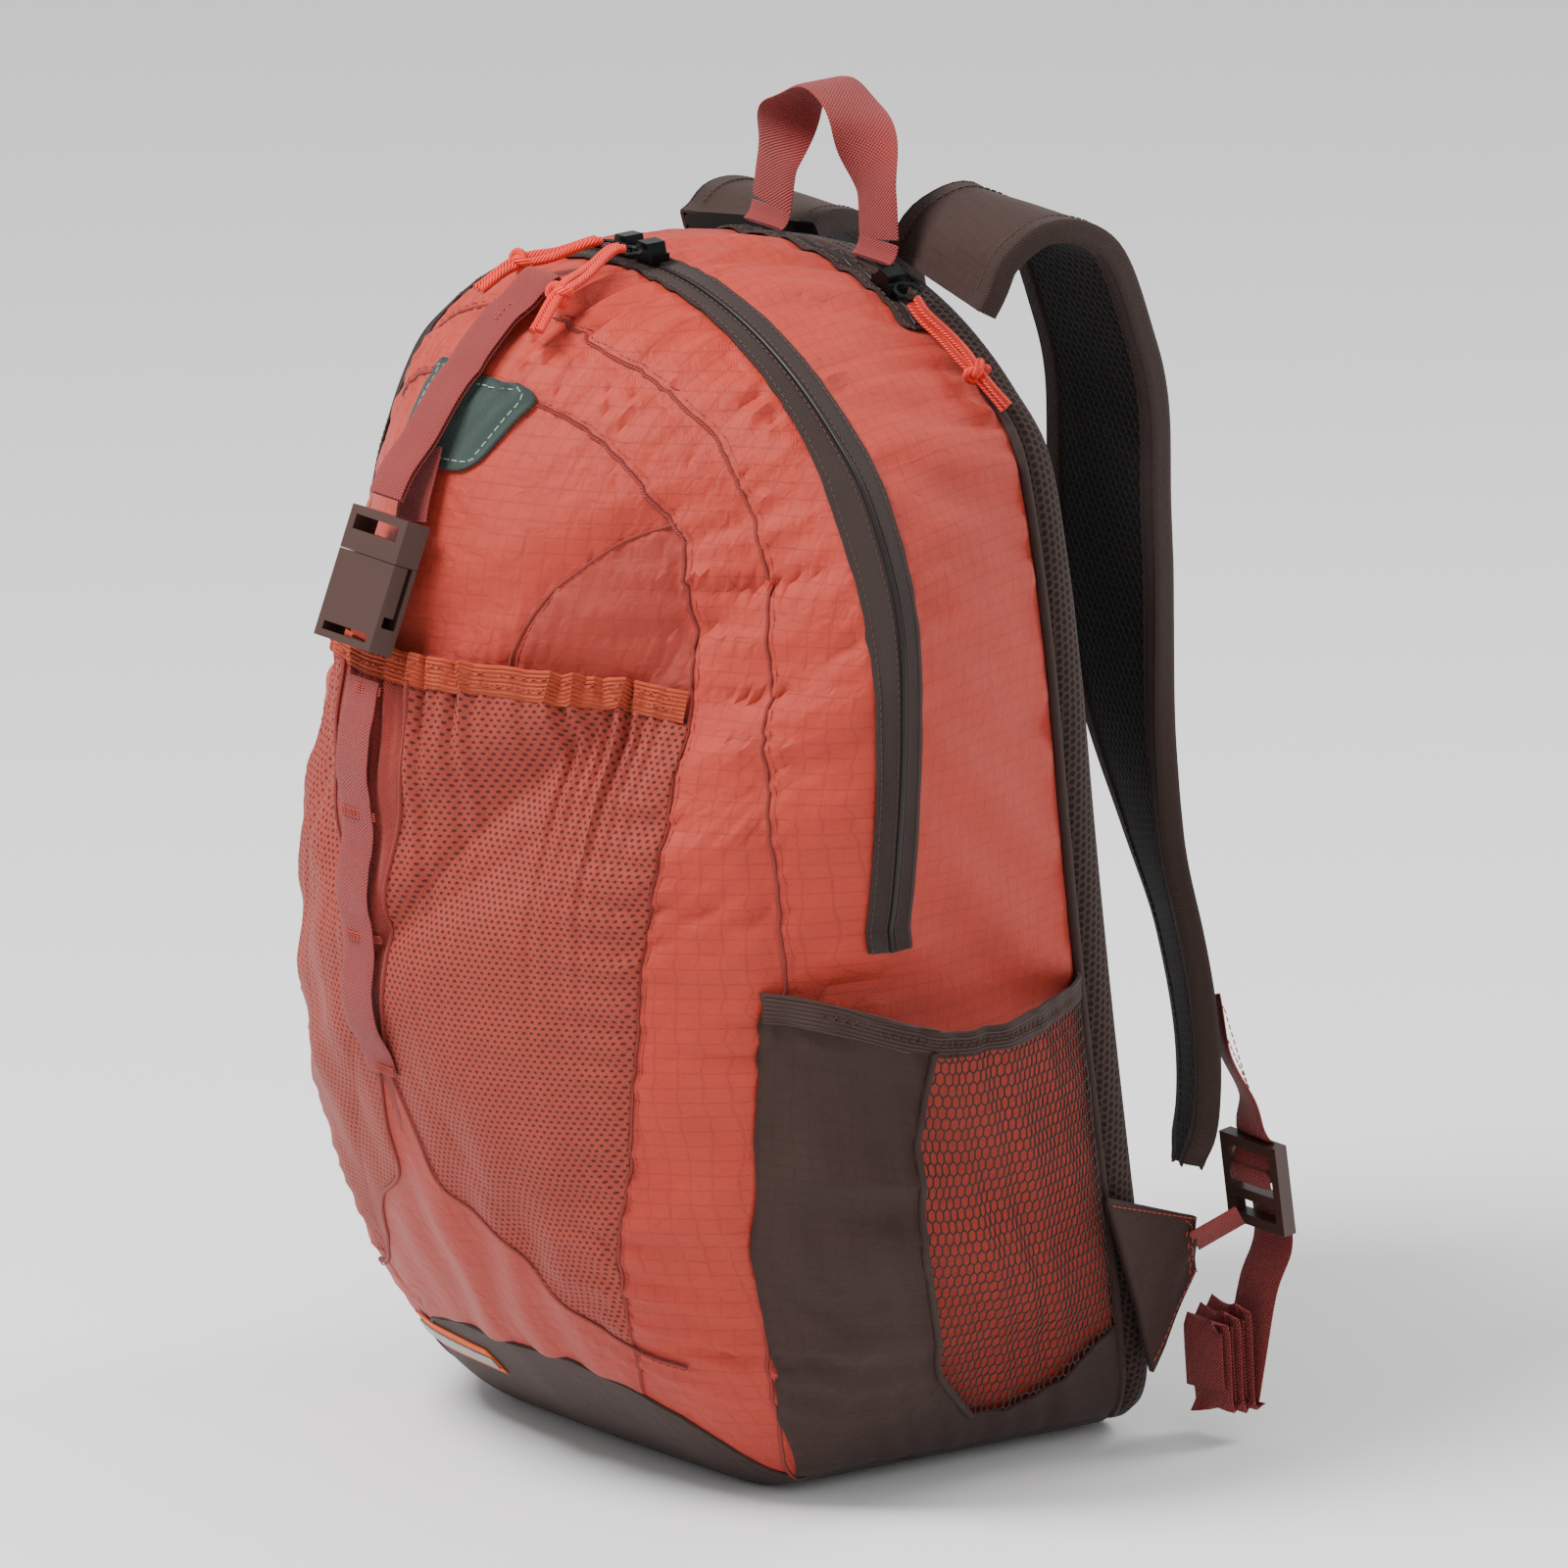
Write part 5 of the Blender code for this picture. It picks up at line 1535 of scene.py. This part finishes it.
@dataclass
class ShoulderStrap:
    """One padded strap with the webbing, the ladder lock, the tail and the wing below it."""

    kit: Dresser
    word: str
    side: int
    thickness: float = 0.0105
    binding: float = 0.008
    webbing: float = 0.025
    tilt: float = math.radians(8)
    lock: tuple[float, float, float] = (0.139, 0.126, 0.103)
    tops: dict[str, tuple[tuple[float, float, float], ...]] = field(
        default_factory=lambda: {
            "right": (
                (0.062, 0.024, 0.4770), (0.066, 0.034, 0.4950), (0.072, 0.053, 0.5030),
                (0.075, 0.075, 0.4910)
            ),
            "left": (
                (0.062, 0.024, 0.4750), (0.066, 0.038, 0.4790), (0.072, 0.057, 0.4760),
                (0.075, 0.076, 0.4660)
            ),
        }
    )

    def build(self) -> None:
        """Makes everything from the strap's root to the wing."""
        kit, side, word = self.kit, self.side, self.word
        body = f"shoulder_strap_{word}"
        length = [
            (0.076, 0.090, 0.4550), (0.077, 0.097, 0.4250), (0.075, 0.100, 0.3800), (0.075, 0.103, 0.3350),
            (0.080, 0.106, 0.2900)
        ]
        length += [
            (0.091, 0.110, 0.2430), (0.106, 0.112, 0.2030), (0.118, 0.111, 0.1660), (0.123, 0.108, 0.1350),
            (0.124, 0.102, 0.1120)
        ]
        path = even(spline([mirror(p, side) for p in (*self.tops[word], *length)], 300), 0.0035)
        share = np.linspace(0, 1, len(path))
        turn = math.radians(24.0) * smooth(0.45, 0.8, share)
        across = np.stack([np.cos(turn), -side * np.sin(turn), np.zeros(len(path))], axis=1)
        width = np.interp(share, (0, 0.45, 0.65, 0.85, 1), (0.070, 0.070, 0.062, 0.044, 0.030)) - 0.002
        width = width * (1 - 0.45 * smooth(0.965, 1.0, share) ** 2)
        pad = ribbon(
            "strap_pad_" + word, path, across, width, self.thickness - 0.002, kit.paint(STRAP_MESH), 21,
            crown=0.0009
        )
        pad.data.materials.append(kit.paint(BROWN))
        count = 42
        for face in pad.data.polygons:
            if all(v % count >= count // 2 for v in face.vertices):
                face.material_index = 1
        wear(pad, body, f"shoulder_strap_{word}")
        sides, out = frames_of(path, across)
        bands = []
        for edge in (-1, 1):
            rim = path + sides * (edge * width / 2)[:, None]
            bands.append(
                ribbon(f"rim_{edge}", rim, out, self.thickness - 0.001, 0.0016, kit.paint(BROWN_WEBBING), 7)
            )
            for face in (-1, 1):
                reach = (edge * (width / 2 - self.binding / 2))[:, None]
                inner = path + sides * reach + out * face * (self.thickness / 2 - 0.0010)
                bands.append(
                    ribbon(
                        f"band_{edge}_{face}", inner, sides, self.binding, 0.0014, kit.paint(BROWN_WEBBING),
                        7
                    )
                )
        binding = join(f"strap_binding_{word}", bands)
        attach(binding, body)
        inner = [sides * (edge * (width / 2 - self.binding + 0.001))[:, None] for edge in (-1, 1)]
        lines = [
            (path + shift + out * face * (self.thickness / 2 - 0.0001))[2:-5]
            for shift in inner
            for face in (-1, 1)
        ]
        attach(kit.stitcher.sew(f"strap_stitches_{word}", lines, kit.paint(DARK_THREAD)), body)
        self.end_webbing(body, across[-1])
        self.tail()
        self.wing()

    def end_webbing(self, body: str, across: Array) -> None:
        """The webbing sewn to the strap's end with a box stitch, through the lock."""
        kit, side, word = self.kit, self.side, self.word
        lock = mirror(self.lock, side)
        up = np.array([0, -math.sin(self.tilt), math.cos(self.tilt)])
        face = np.array([0, up[2], -up[1]])
        upper = lock + up * 0.0235
        lead = [
            mirror(p, side)
            for p in ((0.1190, 0.1190, 0.178), (0.1265, 0.1185, 0.157), (0.1370, 0.1216, 0.139))
        ]
        thread = [
            lock + up * 0.0165 + face * 0.0030, lock + up * 0.0110, lock + up * 0.0055 - face * 0.0028,
            lock - face * 0.0030
        ]
        path = spline([*lead, upper, *thread], 60)
        share = np.linspace(0, 1, 60)[:, None]
        blend = smooth(0.2, 0.6, share)
        widths = across * (1 - blend) + np.array([1.0, 0, 0]) * blend
        webbing = ribbon(f"strap_webbing_{word}", path, widths, self.webbing, 0.0016, kit.paint(WEBBING), 9)
        wear(webbing, body, f"strap_end_webbing_{word}")
        box = []
        for u, v in ((-1, 0.04), (1, 0.04), (1, 0.26), (-1, 0.26), (-1, 0.04), (1, 0.26)):
            k = int(v * 59)
            side_at, out_at = frames_of(path, widths)
            box.append(path[k] + side_at[k] * u * 0.009 - out_at[k] * 0.0012)
        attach(kit.stitcher.sew(f"box_stitch_{word}", [np.array(box)], kit.paint(THREAD)), body)
        kit.keep_cad(ACETAL, f"ladder_lock_{word}", bevel=0.0009)
        lower = lock - up * 0.011 - face * 0.0105
        tip = mirror((0.1295, 0.100, 0.080), side)
        line = np.linspace(lower, tip + unit(lower - tip) * 0.001, 12)
        flat = np.array([side * 0.65, 0, 0.76])
        hold = ribbon(f"wing_webbing_{word}", line, flat, 0.0195, 0.0016, kit.paint(WEBBING), 9)
        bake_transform(hold)
        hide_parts(f"lower_webbing_{word}")

    def tail(self) -> None:
        """The loose webbing below the lock, folded up on itself in a zigzag."""
        kit, side, word = self.kit, self.side, self.word
        top = mirror((0.139, 0.126 + 0.0062, 0.0975), side)
        points = [
            top + [0, 0, 0.0010], top + [0, 0.002, -0.020], mirror((0.142, 0.124, 0.060), side),
            mirror((0.141, 0.119, 0.032), side), mirror((0.140, 0.1165, 0.0150), side)
        ]
        y, heights = 0.1165, (0.0535, 0.0145)
        for k in range(6):
            lean = 0.0015 * (-1) ** k
            y -= 0.0028
            if k % 2 == 0:
                points += [
                    mirror((0.1395 + lean, y + 0.0012, heights[1] - 0.0018), side),
                    mirror((0.1390 + lean, y, 0.0200), side),
                    mirror((0.1385, y, heights[0] - 0.004 - 0.001 * k), side)
                ]
            else:
                points += [
                    mirror((0.1385 + lean, y + 0.0012, heights[0] - 0.001 * k), side),
                    mirror((0.1385 + lean, y, 0.0440), side),
                    mirror((0.1390, y, heights[1] + 0.003 + 0.0008 * k), side)
                ]
        path = even(spline(points, 260), 0.0022)
        across = ALONG_X * math.cos(self.tilt)
        band = ribbon(
            f"webbing_tail_{word}_band", path, across, self.webbing - 0.0006, 0.0015, kit.paint(WEBBING), 7
        )
        wear(band, f"webbing_tail_{word}", f"webbing_tail_{word}", f"webbing_fold_{word}")

    def wing(self) -> None:
        """The three-cornered wing beside the back panel."""
        kit, side, word = self.kit, self.side, self.word
        corners = [
            mirror(p, side)
            for p in (
                (0.1420, 0.044, 0.112), (0.1350, 0.074, 0.032), (0.1310, 0.099, 0.092),
                (0.1280, 0.101, 0.068)
            )
        ]
        top, bottom, tip_top, tip_bottom = corners
        rows, columns = 24, 24
        t, s = np.meshgrid(np.linspace(0, 1, rows), np.linspace(0, 1, columns), indexing="ij")
        down, out = s[..., None], t[..., None]
        root = top * (1 - down) + bottom * down
        tip = tip_top * (1 - down) + tip_bottom * down
        grid = root * (1 - out) + tip * out
        puff = 0.0016 * np.sin(math.pi * s) * (1 - t) + 0.0003 * ripple(t * 1.1 + s * 1.7, 71)
        grid[..., 0] += side * (0.0011 + puff)
        obj = outwards(grid_object(f"wing_cloth_{word}", grid, kit.paint(BROWN), 0.0024))
        wear(obj, ROOT, f"wing_{word}")
        zigzag = [
            grid[-4 + (i % 2) * 2, int(2 + i * (columns - 5) / 9)] + [side * 0.0016, 0, 0]
            for i in range(10)
        ]
        lines = [
            np.array(zigzag), grid[1:-1, 1] + [side * 0.0015, 0, 0], grid[1:-1, -2] + [side * 0.0015, 0, 0]
        ]
        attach(kit.stitcher.sew(f"wing_stitches_{word}", lines, kit.paint(THREAD)), ROOT)


@dataclass
class FrontTrim:
    """The patch, the strap over it, the buckle, the daisy chain and the reflective strip."""

    kit: Dresser
    pocket: FrontPocket
    width: float = 0.020
    webbing: float = 0.0015
    patch_z: float = 0.4225
    patch_tall: float = 0.0345
    strap_low: float = 0.402
    strap_top: float = 0.4835
    tacks: tuple[float, ...] = (0.332, 0.284, 0.236, 0.182)

    def build(self) -> None:
        """Makes the pieces down the middle of the front."""
        self.patch()
        self.strap()
        self.daisy_chain()
        self.strip()
        self.kit.keep_cad(
            ACETAL, "buckle_plug", "buckle_socket", "buckle_prong_right", "buckle_prong_left", bevel=0.0011
        )

    def patch(self) -> None:
        """A rounded patch with dashed stitching round it."""
        kit = self.kit
        rows, columns = 22, 44
        grid = np.zeros((rows, columns, 3))
        for i, v in enumerate(np.linspace(0, 1, rows)):
            z = self.patch_z + v * self.patch_tall
            half = (0.022 + 0.014 * v) * (1 - 0.25 * (2 * abs(v - 0.5)) ** 6)
            for j, u in enumerate(np.linspace(-1, 1, columns)):
                grid[i, j] = kit.form.on_front(u * half, z + 0.0015 * (abs(u) ** 4) * (0.5 - v), 0.0016)
        obj = outwards(grid_object("lash_patch_cloth", grid, kit.paint(PATCH), 0.0014))
        wear(obj, ROOT, "lash_patch")
        inner = np.concatenate([grid[2, 3:-3], grid[2:-2, -4], grid[-3, -4:3:-1], grid[-3:1:-1, 3]])
        lift = unit(inner - np.array(S.middle)) * 0.0009
        sewn = kit.stitcher.sew(
            "patch_dashes", [inner + lift], kit.paint(GREY_THREAD), 0.0040, 0.0026, 0.0003
        )
        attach(sewn, ROOT)

    def strap(self) -> None:
        """The doubled strap with a fold at its top, and its loose tail."""
        kit = self.kit
        zs = np.linspace(self.strap_low, self.strap_top, 60)
        lifts = 0.0040 + 0.008 * smooth(0.445, 0.41, zs) * smooth(0.36, 0.40, zs)
        lifts = lifts + 0.004 * smooth(0.43, 0.39, zs)
        for name, extra, node in (
            ("front_strap_upper", 0.0024, "compression_strap"), ("front_strap_lower", 0.0006, None)
        ):
            path = np.array([kit.form.on_front(0, z, lift + extra) for z, lift in zip(zs, lifts)])
            obj = ribbon(name, path, ALONG_X, self.width, self.webbing, kit.paint(WEBBING), 9)
            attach(obj, ROOT)
            if node:
                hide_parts(node)
        root = kit.form.on_front(0, self.strap_top, 0.0055)
        fold = spline(
            [
                tuple(root + np.array(p))
                for p in (
                    (0, -0.002, -0.001), (0, 0.002, 0.0030), (0, 0.0065, 0.0050), (0, 0.0090, 0.0010),
                    (0, 0.0075, -0.0030)
                )
            ], 24
        )
        obj = ribbon("strap_fold", fold, ALONG_X, self.width, 0.0017, kit.paint(WEBBING), 9)
        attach(obj, ROOT)
        zs = np.linspace(0.400, 0.428, 24)
        path = np.array([kit.form.on_front(0.0008 + 0.003 * (0.428 - z) / 0.02, z, 0.0052) for z in zs])
        tail = ribbon(
            "front_strap_tail", path, ALONG_X, self.width - 0.001, self.webbing, kit.paint(WEBBING), 9
        )
        wear(tail, ROOT, "compression_strap_tail")
        tacks = [
            np.array([kit.form.on_front(x, z, 0.0076) for x in np.linspace(-0.008, 0.008, 9)])
            for z in (0.4720, 0.4735, 0.4750, 0.4765)
        ]
        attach(kit.stitcher.sew("strap_tacks", tacks, kit.paint(THREAD), 0.0020, 0.0017, 0.0003), ROOT)

    def daisy_chain(self) -> None:
        """Webbing down the pocket's middle that stands out between its bar tacks."""
        kit, pocket = self.kit, self.pocket
        tacks = np.array(self.tacks)
        zs = np.linspace(0.179, 0.336, 110)
        gap = np.array([np.abs(tacks - z).min() for z in zs])
        bulge = 0.0026 * smooth(0.004, 0.020, gap)
        path = np.array(
            [kit.form.on_front(0, z, float(pocket.lift(0.0, z)) + 0.0016 + b) for z, b in zip(zs, bulge)]
        )
        obj = ribbon("daisy_webbing", path, ALONG_X, self.width, self.webbing, kit.paint(WEBBING), 9)
        wear(obj, ROOT, "daisy_chain")
        lines = []
        for z in tacks:
            for k in range(4):
                height = z + (k - 1.5) * 0.0009
                lines.append(
                    np.array(
                        [
                            kit.form.on_front(x, height, float(pocket.lift(0.0, height)) + 0.0027)
                            for x in np.linspace(-0.0085, 0.0085, 9)
                        ]
                    )
                )
        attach(kit.stitcher.sew("bar_tacks", lines, kit.paint(THREAD), 0.0019, 0.0018, 0.00035), ROOT)

    def strip(self) -> None:
        """The orange strip on the base with its grey stripe."""
        kit = self.kit
        for name, low, high, lift, finish in (
            ("strip_tape", 0.030, 0.042, 0.0014, FLUORESCENT),
            ("strip_stripe", 0.0335, 0.0385, 0.0024, REFLECTOR)
        ):
            xs = np.linspace(-0.086, -0.030, 40)
            grid = np.array(
                [
                    [kit.form.on_front(x, z + 0.006 * (x + 0.03) / 0.056 * -0.4, lift) for x in xs]
                    for z in np.linspace(low, high, 8)
                ]
            )
            obj = outwards(grid_object(name, grid, kit.paint(finish), 0.0008))
            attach(obj, ROOT)
            if name == "strip_tape":
                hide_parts("reflective_strip")


# --- The studio ------------------------------------------------------------------


@dataclass(frozen=True)
class Studio:
    """A pale floor, soft lights and the camera."""

    azimuth: float = 52.0
    elevation: float = 15.5
    lens: float = 1000.0
    sensor: float = 36.0
    distance: float = 17.57
    floor_half: float = 6.0
    floor_grey: float = 0.92
    floor_roughness: float = 0.8
    sky: float = 0.70
    aim_right: float = -0.0055
    aim_up: float = 0.2506

    def build(self) -> None:
        """Makes the floor, the lights and the camera."""
        floor = bpy.data.meshes.new("studio_floor")
        corners = [
            (i * self.floor_half, j * self.floor_half, 0) for i, j in ((-1, -1), (1, -1), (1, 1), (-1, 1))
        ]
        floor.from_pydata(corners, [], [(0, 1, 2, 3)])
        plane = placed("studio_floor", floor)
        material = bpy.data.materials.new("pale_floor")
        material.use_nodes = True
        shader = material.node_tree.nodes["Principled BSDF"]
        shader.inputs["Base Color"].default_value = (*[self.floor_grey] * 3, 1)
        shader.inputs["Roughness"].default_value = self.floor_roughness
        floor.materials.append(material)
        world = bpy.data.worlds.new("studio") if bpy.context.scene.world is None else bpy.context.scene.world
        bpy.context.scene.world = world
        world.use_nodes = True
        background = world.node_tree.nodes["Background"]
        background.inputs[0].default_value = (1, 1, 1, 1)
        background.inputs[1].default_value = self.sky
        a, e = math.radians(self.azimuth), math.radians(self.elevation)
        right = Vector((math.cos(a), math.sin(a), 0))
        back = Vector((math.sin(a) * math.cos(e), -math.cos(a) * math.cos(e), math.sin(e)))
        up = back.cross(right)
        aim = right * self.aim_right + up * self.aim_up
        lights = (
            ("key", right * -1.1 + back * 1.1 + up * 1.6, 0.9, 80),
            ("rim", right * 1.5 + back * -0.3 + up * 1.4, 0.8, 20),
            ("fill", right * 1.2 + back * 1.8 + up * 0.3, 1.5, 8)
        )
        for name, place, size, power in lights:
            data = bpy.data.lights.new(name, "AREA")
            data.shape, data.size, data.energy = "DISK", size, power
            lamp = placed(name, data)
            lamp.location = aim + place
            lamp.rotation_mode = "QUATERNION"
            lamp.rotation_quaternion = place.to_track_quat("Z", "Y")
        lens = bpy.data.cameras.new("camera")
        lens.lens, lens.sensor_width = self.lens, self.sensor
        lens.clip_start, lens.clip_end = 0.5, 60.0
        camera = placed("camera", lens)
        camera.location = aim + back * self.distance
        camera.rotation_mode = "QUATERNION"
        camera.rotation_quaternion = back.to_track_quat("Z", "Y")
        bpy.context.scene.camera = camera


def main() -> None:
    """Builds the daypack's look over its frame."""
    logging.basicConfig(level=logging.INFO, format="%(message)s")
    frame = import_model()
    kit = Dresser(BagForm(), Paints(), Stitcher(), frame["nodes"])
    netting = Netting()
    pocket = FrontPocket(kit)
    steps: list[tuple[str, Callable[[], None]]] = [
        ("shells", Shells(kit).build),
        ("back panel", BackPanel(kit).build),
        ("front pocket", pocket.build),
        ("front trim", FrontTrim(kit, pocket).build),
        ("zips", Zips(kit).build),
        ("haul loop", HaulLoop(kit).build),
    ]
    for word, side in SIDES:
        steps.append((f"side pocket {word}", SidePocket(kit, netting, word, side).build))
        steps.append((f"shoulder strap {word}", ShoulderStrap(kit, word, side).build))
    for name, build in steps:
        build()
        LOG.info("made %s", name)
    Studio().build()


if __name__ == "__main__":
    main()
